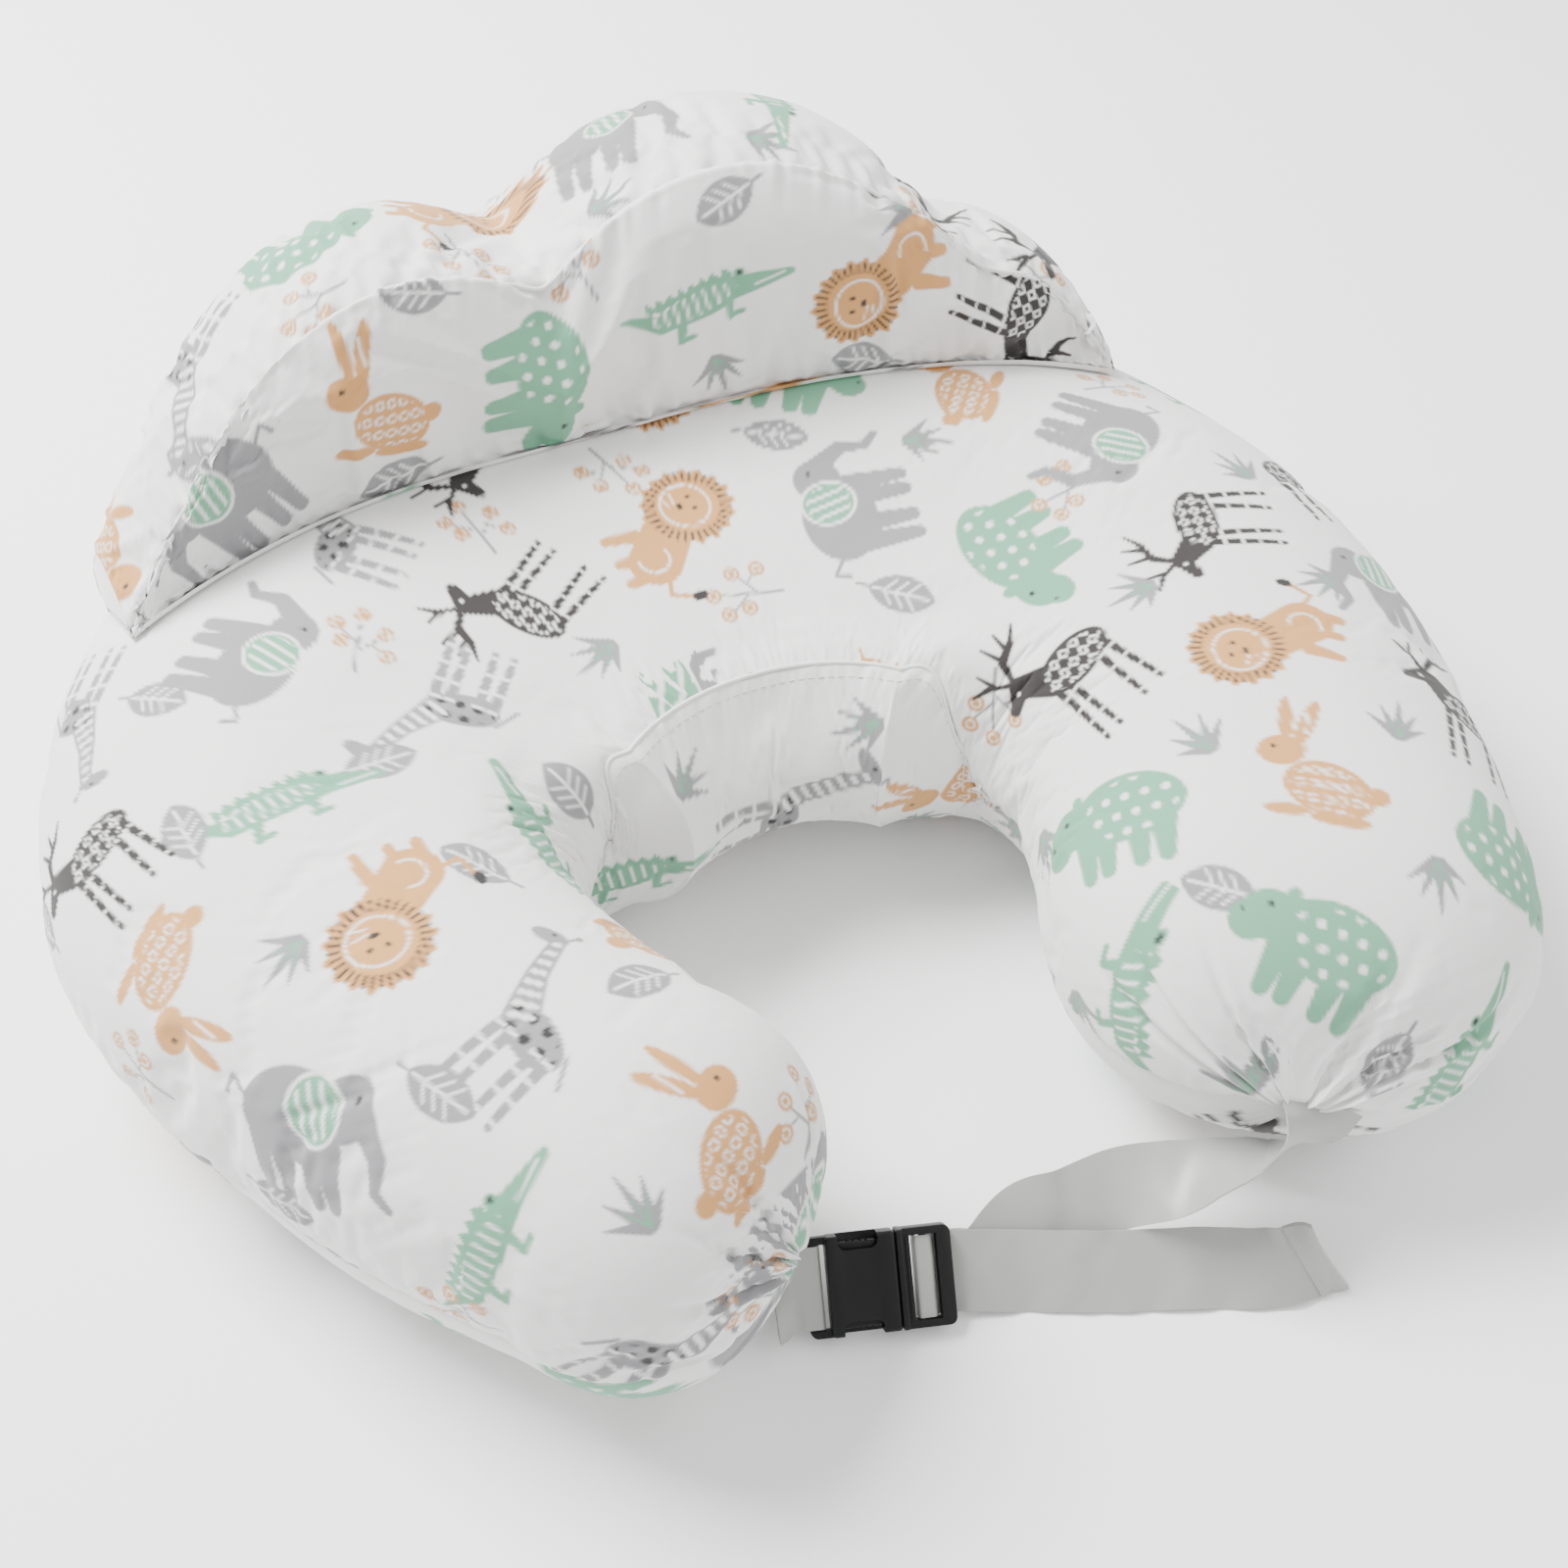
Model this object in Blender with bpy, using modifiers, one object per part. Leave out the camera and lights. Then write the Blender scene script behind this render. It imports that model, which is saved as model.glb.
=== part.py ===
# Nursing pillow: a U-shaped cushion, a raised head guard along its back, and a waist strap
# with a side-release buckle between the two arm tips. Metres, +Z up, standing on z = 0.

import math

import bmesh
import bpy
from mathutils import Matrix, Vector

# ---------------------------------------------------------------- driving dimensions
CUSHION_HEIGHT = 0.164         # floor to crown
CUSHION_SINK = 0.006           # how far the underside is pressed flat
SECTION_POWER = 2.25           # superellipse exponent of the cushion's section
TIP_POWER, NOSE_POWER = 2.3, 2.3           # roundness of the arm tips in plan and in height
BACK_Y = 0.214                 # centre line's y at the middle of the back
ARMS = {
    "left": {"reach": 0.534, "bend": (4.1, 4.6, 7.9, 2.4, 0.4),
             "width": (0.156, 0.155, 0.120, 0.092, 0.079, 0.093)},
    "right": {"reach": 0.536, "bend": (4.1, 4.6, 6.3, 2.6, 0.2),
              "width": (0.156, 0.155, 0.120, 0.106, 0.106, 0.107)},
}
WIDTH_STATIONS = (0.0, 0.3, 0.5, 0.65, 0.85, 1.0)

COVER_THICKNESS = 0.0012       # printed cotton with its seam allowance
BAG_INSET, BAG_THICKNESS = 0.0070, 0.0008
FILL_INSET = 0.0110
OUTER_SEAM, INNER_SEAM = -8.0, 188.0       # degrees round the section, 0 outwards, 90 up
GUSSET_TOP, GUSSET_FOOT = 142.0, 226.0     # the inner panel's seams at the middle of the bend
GUSSET_REACH = 0.60            # share of each arm that the inner panel runs along

GUARD_HALF_WIDTH = 0.250
GUARD_LEAN = 15.0              # front panel's lean to the back
GUARD_LOBES = ((-0.100, 0.257, 0.104), (0.062, 0.274, 0.112), (0.190, 0.206, 0.032))  # x, top, radius
GUARD_FRONT_Y, GUARD_FRONT_CURVE = 0.236, 0.60
GUARD_BACK_Y, GUARD_BACK_CURVE, GUARD_BACK_FLAT = 0.377, 2.60, 0.060
GUARD_HEM_Z = 0.104            # lower back edge, where the guard is sewn on and tilts
GUARD_BACK_DROP = 0.034        # back outline below the front outline
GUARD_CLEARANCE = 0.004

BUCKLE_CORNER = Vector((-0.0785, -0.1650, 0.0046))   # lower socket corner, on the floor side
BUCKLE_HEADING, BUCKLE_LEAN = -15.9, 50.0            # degrees about Z, and back from upright
BUCKLE_LENGTH, BUCKLE_WIDTH, BUCKLE_DEPTH = 0.062, 0.042, 0.0110
RIBBON_WIDTH, RIBBON_THICKNESS = 0.0345, 0.0008
GAP = 0.0003

COLOURS = {
    "print_cotton": ((0.90, 0.89, 0.87), 0.85, 0.0),
    "inner_bag": ((0.93, 0.93, 0.92), 0.9, 0.0),
    "filling": ((0.95, 0.95, 0.94), 0.95, 0.0),
    "ribbon": ((0.60, 0.61, 0.58), 0.45, 0.0),
    "plastic": ((0.02, 0.02, 0.022), 0.45, 0.0),
    "zip_tape": ((0.88, 0.88, 0.86), 0.8, 0.0),
    "zip_metal": ((0.75, 0.75, 0.73), 0.35, 1.0),
}


# ---------------------------------------------------------------- scene helpers
def clear_scene():
    for obj in list(bpy.data.objects):
        bpy.data.objects.remove(obj, do_unlink=True)


def new_collection(name):
    made = bpy.data.collections.new(name)
    bpy.context.scene.collection.children.link(made)
    return made


def material(name):
    found = bpy.data.materials.get(name)
    if found:
        return found
    colour, roughness, metallic = COLOURS[name]
    made = bpy.data.materials.new(name)
    made.use_nodes = True
    shader = made.node_tree.nodes["Principled BSDF"]
    shader.inputs["Base Color"].default_value = (*colour, 1.0)
    shader.inputs["Roughness"].default_value = roughness
    shader.inputs["Metallic"].default_value = metallic
    return made


def add_object(name, mesh, finish, collection, parent=None):
    obj = bpy.data.objects.new(name, mesh)
    own = material(finish).copy()
    own.name = name + "_" + finish
    mesh.materials.append(own)
    collection.objects.link(obj)
    obj.parent = parent
    return obj


def mesh_from_bmesh(name, bm):
    mesh = bpy.data.meshes.new(name)
    bmesh.ops.recalc_face_normals(bm, faces=bm.faces)
    bm.to_mesh(mesh)
    bm.free()
    mesh.shade_smooth()
    mesh.set_sharp_from_angle(angle=math.radians(40))
    return mesh


def add_grid(bm, rows, closed=False):
    """A sheet of quads over rows of points; closed joins each row's end to its start."""
    made = [[bm.verts.new(p) for p in row] for row in rows]
    for near, far in zip(made, made[1:]):
        steps = len(near) if closed else len(near) - 1
        for j in range(steps):
            k = (j + 1) % len(near)
            bm.faces.new((near[j], near[k], far[k], far[j]))
    return made


def loft_solid(name, rings, finish, collection, parent=None):
    bm = bmesh.new()
    made = add_grid(bm, rings, closed=True)
    bm.faces.new(made[0])
    bm.faces.new(list(reversed(made[-1])))
    return add_object(name, mesh_from_bmesh(name, bm), finish, collection, parent)


def loft_panel(name, rows, thickness, finish, collection, inward, parent=None):
    """An open sheet, thickened on the side that the point 'inward' lies on."""
    bm = bmesh.new()
    add_grid(bm, rows)
    bmesh.ops.recalc_face_normals(bm, faces=bm.faces)
    middle = rows[len(rows) // 2]
    spot = middle[len(middle) // 2]
    nearest = min(bm.faces, key=lambda f: (f.calc_center_median() - spot).length)
    if nearest.normal.dot(inward - nearest.calc_center_median()) > 0:
        bmesh.ops.reverse_faces(bm, faces=bm.faces)
    mesh = bpy.data.meshes.new(name)
    bm.to_mesh(mesh)
    bm.free()
    mesh.shade_smooth()
    obj = add_object(name, mesh, finish, collection, parent)
    wall = obj.modifiers.new("wall", "SOLIDIFY")
    wall.thickness = thickness
    wall.offset = -1.0
    return obj


def box_mesh(bm, low, high):
    size = Vector(high) - Vector(low)
    centre = (Vector(high) + Vector(low)) / 2
    place = Matrix.Translation(centre) @ Matrix.Diagonal((*size, 1.0))
    bmesh.ops.create_cube(bm, size=1.0, matrix=place)


def add_box(name, low, high, finish, collection, parent=None, bevel=0.0):
    bm = bmesh.new()
    box_mesh(bm, low, high)
    obj = add_object(name, mesh_from_bmesh(name, bm), finish, collection, parent)
    if bevel:
        edge = obj.modifiers.new("edge", "BEVEL")
        edge.width = bevel
        edge.segments = 2
    return obj


def hang(pieces, pivot):
    """Parents pieces to an empty on their joint's axis and leaves them where they are."""
    for obj in pieces:
        obj.parent = pivot
        obj.data.transform(pivot.matrix_world.inverted())


def cut(target, cutter):
    cutter.hide_render = True
    cutter.display_type = "WIRE"
    made = target.modifiers.new("cut_" + cutter.name, "BOOLEAN")
    made.operation = "DIFFERENCE"
    made.object = cutter


# ---------------------------------------------------------------- cushion geometry
def knots(values, stations, t):
    for (t0, v0), (t1, v1) in zip(zip(stations, values), zip(stations[1:], values[1:])):
        if t <= t1:
            return v0 + (v1 - v0) * (t - t0) / (t1 - t0)
    return values[-1]


def centre_line(side, steps=240):
    """Points (x, y, heading) along one half of the U, from the back to the arm's end."""
    arm = ARMS[side]
    quarters = [i / (len(arm["bend"]) - 1) for i in range(len(arm["bend"]))]
    ds = arm["reach"] / steps
    x, y, heading = 0.0, BACK_Y, 0.0
    line = [(x, y, heading)]
    for i in range(steps):
        turn = knots(arm["bend"], quarters, (i + 0.5) / steps) * ds
        x += math.cos(heading + turn / 2) * ds
        y -= math.sin(heading + turn / 2) * ds
        heading += turn
        line.append((x, y, heading))
    return line


LINES = {side: centre_line(side) for side in ARMS}


def half_width(side, t):
    return knots(ARMS[side]["width"], WIDTH_STATIONS, t)


def on_line(side, s):
    line = LINES[side]
    place = min(max(s / ARMS[side]["reach"], 0.0), 1.0) * (len(line) - 1)
    i = min(int(place), len(line) - 2)
    f = place - i
    return [a + (b - a) * f for a, b in zip(line[i], line[i + 1])]


def power(value, exponent):
    return math.copysign(abs(value) ** exponent, value)


def cushion_point(side, s, sigma, degrees, inset=0.0):
    """A point of the cushion's skin. sigma runs from 0 to 1 over the rounded arm tip."""
    arm = ARMS[side]
    tip_length = arm["width"][-1]
    if sigma > 0:
        s = arm["reach"] - tip_length + (tip_length - inset) * sigma
    x, y, heading = on_line(side, s)
    wide = (half_width(side, s / arm["reach"]) - inset) * (1 - sigma ** TIP_POWER) ** (1 / TIP_POWER)
    high = (CUSHION_HEIGHT / 2 - inset) * (1 - sigma ** NOSE_POWER) ** (1 / NOSE_POWER)
    angle = math.radians(degrees)
    v = wide * power(math.cos(angle), 2 / SECTION_POWER)
    z = CUSHION_HEIGHT / 2 + high * power(math.sin(angle), 2 / SECTION_POWER) - CUSHION_SINK
    z = max(z, inset)
    px, py = x + math.sin(heading) * v, y + math.cos(heading) * v
    return Vector((px if side == "right" else -px, py, z + 0.0002))


def stations(body_steps, tip_steps, reach=1.0):
    """(side, s, sigma) from the left arm's end round the back to the right arm's end."""
    made = []
    for side in ("left", "right"):
        arm = ARMS[side]
        straight = arm["reach"] - arm["width"][-1]
        half = [(side, straight * i / body_steps * reach, 0.0) for i in range(body_steps + 1)]
        if reach == 1.0:
            half += [(side, straight, math.sin(math.pi / 2 * i / tip_steps) * 0.999)
                     for i in range(1, tip_steps + 1)]
        made = list(reversed(half)) if side == "left" else made[:-1] + half
    return made


def gusset_seam(side, s, peak):
    """Angle of one of the inner panel's seams: apart round the bend, meeting on the arms."""
    t = s / (ARMS[side]["reach"] * GUSSET_REACH)
    fall = min(max((t - 0.55) / 0.45, 0.0), 1.0)
    share = 1.0 - fall * fall * (3.0 - 2.0 * fall)
    return INNER_SEAM - (INNER_SEAM - peak) * share


def strip(sections, start, end, columns, inset=0.0):
    rows = []
    for side, s, sigma in sections:
        low = start(side, s) if callable(start) else start
        high = end(side, s) if callable(end) else end
        angles = [low + (high - low) * j / columns for j in range(columns + 1)]
        rows.append([cushion_point(side, s, sigma, a, inset) for a in angles])
    return rows


def build_cushion(parts):
    sections = stations(14, 5)
    heart = Vector((0.0, BACK_Y, CUSHION_HEIGHT / 2))
    seam_gap = 0.8             # degrees of section left free on each side of a seam

    def seam(peak, shift):
        return lambda side, s: gusset_seam(side, s, peak) + shift

    loft_panel("cushion_cover_top", strip(sections, OUTER_SEAM, seam(GUSSET_TOP, -seam_gap), 11),
               COVER_THICKNESS, "print_cotton", parts, heart)
    loft_panel("cushion_cover_bottom",
               strip(sections, seam(GUSSET_FOOT, seam_gap - 360), OUTER_SEAM - 2 * seam_gap, 10),
               COVER_THICKNESS, "print_cotton", parts, heart)
    bend = stations(12, 0, reach=GUSSET_REACH * 0.86)
    loft_panel("cushion_inner_gusset",
               strip(bend, seam(GUSSET_TOP, seam_gap), seam(GUSSET_FOOT, -seam_gap), 5),
               COVER_THICKNESS, "print_cotton", parts, heart)
    inner = stations(14, 4)
    loft_panel("cushion_inner_bag_upper", strip(inner, 0.0, 180.0, 9, BAG_INSET),
               BAG_THICKNESS, "inner_bag", parts, heart)
    loft_panel("cushion_inner_bag_lower", strip(inner, -178.4, -1.6, 9, BAG_INSET),
               BAG_THICKNESS, "inner_bag", parts, heart)
    rings = [[cushion_point(side, s, sigma * 0.985, a * 20.0, FILL_INSET) for a in range(18)]
             for side, s, sigma in inner]
    loft_solid("cushion_filling", rings, "filling", parts)


# ---------------------------------------------------------------- head guard geometry
def cushion_top(x, y):
    """Height of the cushion's skin over (x, y), or the guard's hem where there is none."""
    side = "right" if x >= 0 else "left"
    line = LINES[side]
    step = min(range(len(line)), key=lambda i: math.hypot(abs(x) - line[i][0], y - line[i][1]))
    t = step / (len(line) - 1)
    off = math.hypot(abs(x) - line[step][0], y - line[step][1]) / half_width(side, t)
    if off >= 1.0:
        return GUARD_HEM_Z
    rise = CUSHION_HEIGHT / 2 * (1 - off ** SECTION_POWER) ** (1 / SECTION_POWER)
    return max(GUARD_HEM_Z, CUSHION_HEIGHT / 2 + rise - CUSHION_SINK + GUARD_CLEARANCE)


def cloud_top(x):
    """Front outline of the guard: a soft maximum of three lobes."""
    sharp = 260.0
    tops = [top - (x - centre) ** 2 / (2 * radius) for centre, top, radius in GUARD_LOBES]
    peak = max(tops)
    return peak + math.log(sum(math.exp(sharp * (t - peak)) for t in tops)) / sharp


def guard_section(t, inset, front=5, band=5, back=4, base=7):
    """Section of the guard at t from 0 (left) to 1 (right): its four runs of points."""
    reach = GUARD_HALF_WIDTH - inset
    x = -reach + 2 * reach * t
    foot = Vector((x, GUARD_FRONT_Y - GUARD_FRONT_CURVE * x * x, 0))
    sag = GUARD_BACK_CURVE * max(abs(x) - GUARD_BACK_FLAT, 0.0) ** 2
    heel = Vector((x * 1.02, GUARD_BACK_Y - sag, 0))
    depth = (heel - foot).length - 2 * inset
    out = (heel - foot).normalized()
    foot = foot + out * inset

    def place(d, z):
        return Vector((foot.x + out.x * d, foot.y + out.y * d, z))

    def base_height(d):
        p = place(d, 0)
        return cushion_top(p.x, p.y) + inset

    crest = cloud_top(x) - inset
    z_foot, z_heel = base_height(0), base_height(depth)
    lean = math.tan(math.radians(GUARD_LEAN))
    top_d = (crest - z_foot) * lean
    rear_d, rear_z = depth - 0.018, crest - GUARD_BACK_DROP * (1 - 0.6 * abs(2 * t - 1) ** 3)

    def front_point(r):
        bulge = 0.010 * math.sin(math.pi * r)
        return place((z_foot + (crest - z_foot) * r - z_foot) * lean - bulge + 0.002,
                     z_foot + (crest - z_foot) * r)

    def band_point(r):
        swell = 0.014 * math.sin(math.pi * r)
        return place(top_d + (rear_d - top_d) * r + swell * 0.35, crest + (rear_z - crest) * r + swell)

    def back_point(r):
        bulge = 0.006 * math.sin(math.pi * r)
        return place(rear_d + (depth - rear_d) * r + bulge, rear_z + (z_heel - rear_z) * r)

    def base_point(r):
        d = depth * (1 - r) ** 0.8
        return place(d, base_height(d))

    edge = 0.03
    runs = {}
    for key, point, count in (("front", front_point, front), ("band", band_point, band),
                              ("back", back_point, back), ("base", base_point, base)):
        runs[key] = [point(edge + (1 - 2 * edge) * i / count) for i in range(count + 1)]
    return runs


def guard_spread(count):
    """Stations along the guard, closer together towards its ends."""
    return [0.5 - 0.5 * math.cos(math.pi * (0.08 + 0.84 * i / count)) for i in range(count + 1)]


def build_guard(parts):
    heart = Vector((0.0, 0.5 * (GUARD_FRONT_Y + GUARD_BACK_Y), 0.20))
    low, high = 0.004, 0.996
    spread = guard_spread(22)
    spread = [low + (high - low) * (t - spread[0]) / (spread[-1] - spread[0]) for t in spread]
    sections = [guard_section(t, 0.0) for t in spread]
    for name, key in (("guard_cover_front", "front"), ("guard_gusset", "band"),
                      ("guard_cover_back", "back"), ("guard_cover_base", "base")):
        loft_panel(name, [runs[key] for runs in sections], COVER_THICKNESS, "print_cotton",
                   parts, heart)
    for name, runs, away in (("guard_end_panel_left", sections[0], -0.0008),
                             ("guard_end_panel_right", sections[-1], 0.0008)):
        ring = [p for key in ("front", "band", "back", "base") for p in runs[key]]
        rings = [[p + Vector((away * k, 0, 0)) for p in ring] for k in (1.0, 2.2)]
        loft_solid(name, rings, "print_cotton", parts)
    inner = [0.10 + 0.80 * i / 14 for i in range(15)]
    bag = [guard_section(t, BAG_INSET) for t in inner]
    loft_panel("guard_inner_bag_front", [runs["front"] + runs["band"][1:-3] for runs in bag],
               BAG_THICKNESS, "inner_bag", parts, heart)
    loft_panel("guard_inner_bag_back", [runs["band"][-2:] + runs["back"][1:] for runs in bag],
               BAG_THICKNESS, "inner_bag", parts, heart)
    rings = []
    for t in inner:
        runs = guard_section(t, FILL_INSET + 0.001)
        rings.append([p for key in ("front", "band", "back", "base") for p in runs[key][::2]])
    loft_solid("guard_filling", rings, "filling", parts)


# ---------------------------------------------------------------- zip on the guard's back
ZIP_Z, ZIP_HALF = 0.150, 0.065
ZIP_PLANE = GUARD_BACK_Y + 0.0008


def build_zip(parts, slider_pivot, pull_pivot):
    tape, gap = 0.0006, 0.0010
    back = ZIP_PLANE
    for name, z0, z1 in (("zip_tape_upper", ZIP_Z + gap / 2, ZIP_Z + 0.010),
                         ("zip_tape_lower", ZIP_Z - 0.010, ZIP_Z - gap / 2)):
        add_box(name, (-ZIP_HALF, back, z0), (ZIP_HALF, back + tape, z1), "zip_tape", parts)
    coil = back + tape + GAP
    add_box("zip_teeth", (-ZIP_HALF + 0.004, coil, ZIP_Z - 0.0022),
            (ZIP_HALF - 0.004, coil + 0.0016, ZIP_Z + 0.0022), "zip_tape", parts, None, 0.0004)
    bm = bmesh.new()
    near, far = coil + 0.0002, coil + 0.0034
    box_mesh(bm, (-0.0055, near, ZIP_Z - 0.0042), (0.0055, far, ZIP_Z + 0.0042))
    slider = add_object("zip_slider", mesh_from_bmesh("zip_slider", bm), "zip_metal", parts)
    slider.data.transform(Matrix.Translation((ZIP_HALF - 0.012, 0, 0)))
    hang([slider], slider_pivot)
    groove = add_box("zip_slider_groove", (ZIP_HALF - 0.03, near - 0.001, ZIP_Z - 0.0026),
                     (ZIP_HALF + 0.01, coil + 0.0020, ZIP_Z + 0.0026), "zip_metal", CUTTERS)
    cut(slider, groove)
    x0 = ZIP_HALF - 0.012 - 0.004
    bm = bmesh.new()
    box_mesh(bm, (x0 - 0.022, far + GAP, ZIP_Z - 0.0030), (x0, far + GAP + 0.0010, ZIP_Z + 0.0030))
    pull = add_object("zip_pull", mesh_from_bmesh("zip_pull", bm), "zip_metal", parts)
    hang([pull], pull_pivot)


# ---------------------------------------------------------------- buckle and straps
def buckle_frame():
    """x along the buckle from socket to plug, y up its width, z out of its face."""
    turn = Matrix.Rotation(math.radians(BUCKLE_HEADING), 4, "Z")
    lean = Matrix.Rotation(math.radians(90.0 - BUCKLE_LEAN), 4, "X")
    return Matrix.Translation(BUCKLE_CORNER) @ turn @ lean @ Matrix.Translation((0, BUCKLE_WIDTH / 2, 0))


SLOT_HALF = RIBBON_WIDTH / 2 + 0.0006
MOUTH_X = 0.0385               # where the socket ends and the plug's shoulder begins
BAR_X = (0.0005, 0.0045)       # socket's strap bar
SLOT_X = (0.0045, 0.0090)      # socket's strap slot
LADDER_X = (0.0445, 0.0560)    # plug's window
LADDER_BAR = (0.0490, 0.0520)  # plug's middle bar, across the window
FRAME_DEPTH = 0.0050           # thickness of the strap ends of both halves
PRONG_ROOT_X = 0.0370
PRONG_Y = (0.0135, 0.0180)


def build_buckle(parts, base, plug_pivot, prong_pivots):
    half_w, half_d, wall = BUCKLE_WIDTH / 2, BUCKLE_DEPTH / 2, 0.0018
    socket = add_box("buckle_socket", (0.0, -half_w, -half_d), (MOUTH_X, half_w, half_d),
                     "plastic", parts, base)
    for name, low, high in (
            ("cavity", (0.0110, -half_w + wall, -half_d + wall), (0.06, half_w - wall, half_d - wall)),
            ("slot", (SLOT_X[0], -SLOT_HALF, -0.02), (SLOT_X[1], SLOT_HALF, 0.02)),
            ("end_front", (-0.01, -0.03, FRAME_DEPTH / 2), (0.0095, 0.03, 0.02)),
            ("end_back", (-0.01, -0.03, -0.02), (0.0095, 0.03, -FRAME_DEPTH / 2)),
            ("bar_front", (-0.01, -SLOT_HALF, 0.0012), (SLOT_X[0] + 0.001, SLOT_HALF, 0.02)),
            ("bar_back", (-0.01, -SLOT_HALF, -0.02), (SLOT_X[0] + 0.001, SLOT_HALF, -0.0012)),
            ("window_upper", (0.0140, half_w - 0.0060, -0.004), (0.0310, 0.03, 0.02)),
            ("window_lower", (0.0140, -0.03, -0.004), (0.0310, -half_w + 0.0060, 0.02))):
        cut(socket, add_box("socket_" + name, low, high, "plastic", CUTTERS, base))
    plug_x = MOUTH_X + GAP
    plug = add_box("buckle_plug", (plug_x, -half_w, -FRAME_DEPTH / 2 - 0.001),
                   (BUCKLE_LENGTH, half_w, FRAME_DEPTH / 2 + 0.001), "plastic", parts, base)
    tongue = add_box("plug_tongue", (0.0150, -0.0040, -0.0022), (plug_x + 0.002, 0.0040, 0.0022),
                     "plastic", CUTTERS, base)
    shoulder = add_box("plug_shoulder", (plug_x, -half_w, -half_d), (plug_x + 0.0035, half_w, half_d),
                       "plastic", CUTTERS, base)
    for extra in (tongue, shoulder):
        cut(plug, extra)
        plug.modifiers[-1].operation = "UNION"
    for name, low, high in (
            ("window_a", (LADDER_X[0], -SLOT_HALF, -0.02), (LADDER_BAR[0], SLOT_HALF, 0.02)),
            ("window_b", (LADDER_BAR[1], -SLOT_HALF, -0.02), (LADDER_X[1], SLOT_HALF, 0.02)),
            ("bar_front", (LADDER_X[0], -SLOT_HALF, 0.0012), (LADDER_X[1], SLOT_HALF, 0.02)),
            ("bar_back", (LADDER_X[0], -SLOT_HALF, -0.02), (LADDER_X[1], SLOT_HALF, -0.0012))):
        cut(plug, add_box("plug_" + name, low, high, "plastic", CUTTERS, base))
    for name, sign, pivot in (("buckle_prong_upper", 1, prong_pivots[0]),
                              ("buckle_prong_lower", -1, prong_pivots[1])):
        outline = [(PRONG_ROOT_X, PRONG_Y[0] + 0.0012), (PRONG_ROOT_X, PRONG_Y[1] - 0.0006),
                   (0.0320, PRONG_Y[1] - 0.0006), (0.0300, PRONG_Y[1]), (0.0160, PRONG_Y[1]),
                   (0.0128, PRONG_Y[1] - 0.0030), (0.0128, PRONG_Y[0] + 0.0010), (0.0150, PRONG_Y[0]),
                   (0.0280, PRONG_Y[0] + 0.0012)]
        rings = [[Vector((x, y * sign, z)) for x, y in outline] for z in (-0.0032, 0.0032)]
        prong = loft_solid(name, rings, "plastic", parts, pivot)
        prong.data.transform(Matrix.Translation((-PRONG_ROOT_X, -sign * 0.0160, 0)))


def ribbon(name, frames, finish, collection, parent=None, width=RIBBON_WIDTH):
    """A flat strap along frames of (centre, across, normal), all unit vectors but the centre."""
    rings = []
    for centre, across, normal in frames:
        a = across * width / 2
        n = normal * RIBBON_THICKNESS / 2
        rings.append([centre - a - n, centre + a - n, centre + a + n, centre - a + n])
    return loft_solid(name, rings, finish, collection, parent)


def frames_along(points, across, square=True):
    """Frames for a ribbon through points; square turns each across direction square to the route."""
    made = []
    for i, p in enumerate(points):
        ahead = points[min(i + 1, len(points) - 1)]
        behind = points[max(i - 1, 0)]
        along = (ahead - behind).normalized()
        side = (across[i] - along * across[i].dot(along)).normalized() if square else across[i]
        made.append((p, side, along.cross(side).normalized()))
    return made


def wrap(x, z, radius, steps, first, last):
    """Points of an arc about (x, z), from one angle to another in degrees."""
    angles = [math.radians(first + (last - first) * i / steps) for i in range(steps + 1)]
    return [(x + radius * math.cos(a), z + radius * math.sin(a)) for a in angles]


# routes of the free ribbon: its middle line, and which way its width points
TIP_END, TIP_ACROSS = Vector((-0.0885, -0.1495, 0.0160)), Vector((0.22, 0.84, 0.30)).normalized()
FOLD_ROUTE = ((0.1435, -0.1892, 0.0765), (0.1385, -0.1935, 0.0670), (0.1340, -0.1962, 0.0580))
FOLD_ACROSS = ((0.86, -0.46, -0.06), (0.86, -0.44, -0.16), (0.86, -0.40, -0.26))
RUN_ROUTE = ((0.1300, -0.1905, 0.0540), (0.1190, -0.1860, 0.0495), (0.1058, -0.1805, 0.0440),
             (0.0863, -0.1742, 0.0370),
             (0.0651, -0.1686, 0.0300), (0.0430, -0.1655, 0.0240), (0.0240, -0.1630, 0.0205))
RUN_ACROSS = ((0.42, 0.45, 0.62), (0.36, 0.52, 0.62), (0.28, 0.60, 0.63), (0.20, 0.68, 0.66),
              (0.15, 0.73, 0.66), (0.15, 0.74, 0.65), (0.20, 0.74, 0.64))
TAIL_ROUTE = ((0.0123, -0.1739, 0.0125), (0.0335, -0.1830, 0.0123), (0.0542, -0.1917, 0.0122),
              (0.0827, -0.2022, 0.0122), (0.1074, -0.2136, 0.0130), (0.1254, -0.2205, 0.0160),
              (0.1358, -0.2257, 0.0174))
TAIL_ACROSS = ((0.21, 0.74, 0.64), (0.24, 0.73, 0.64), (0.26, 0.72, 0.64), (0.25, 0.74, 0.62),
               (0.10, 0.76, 0.64), (-0.15, 0.65, 0.74), (-0.36, 0.45, 0.80))


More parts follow.
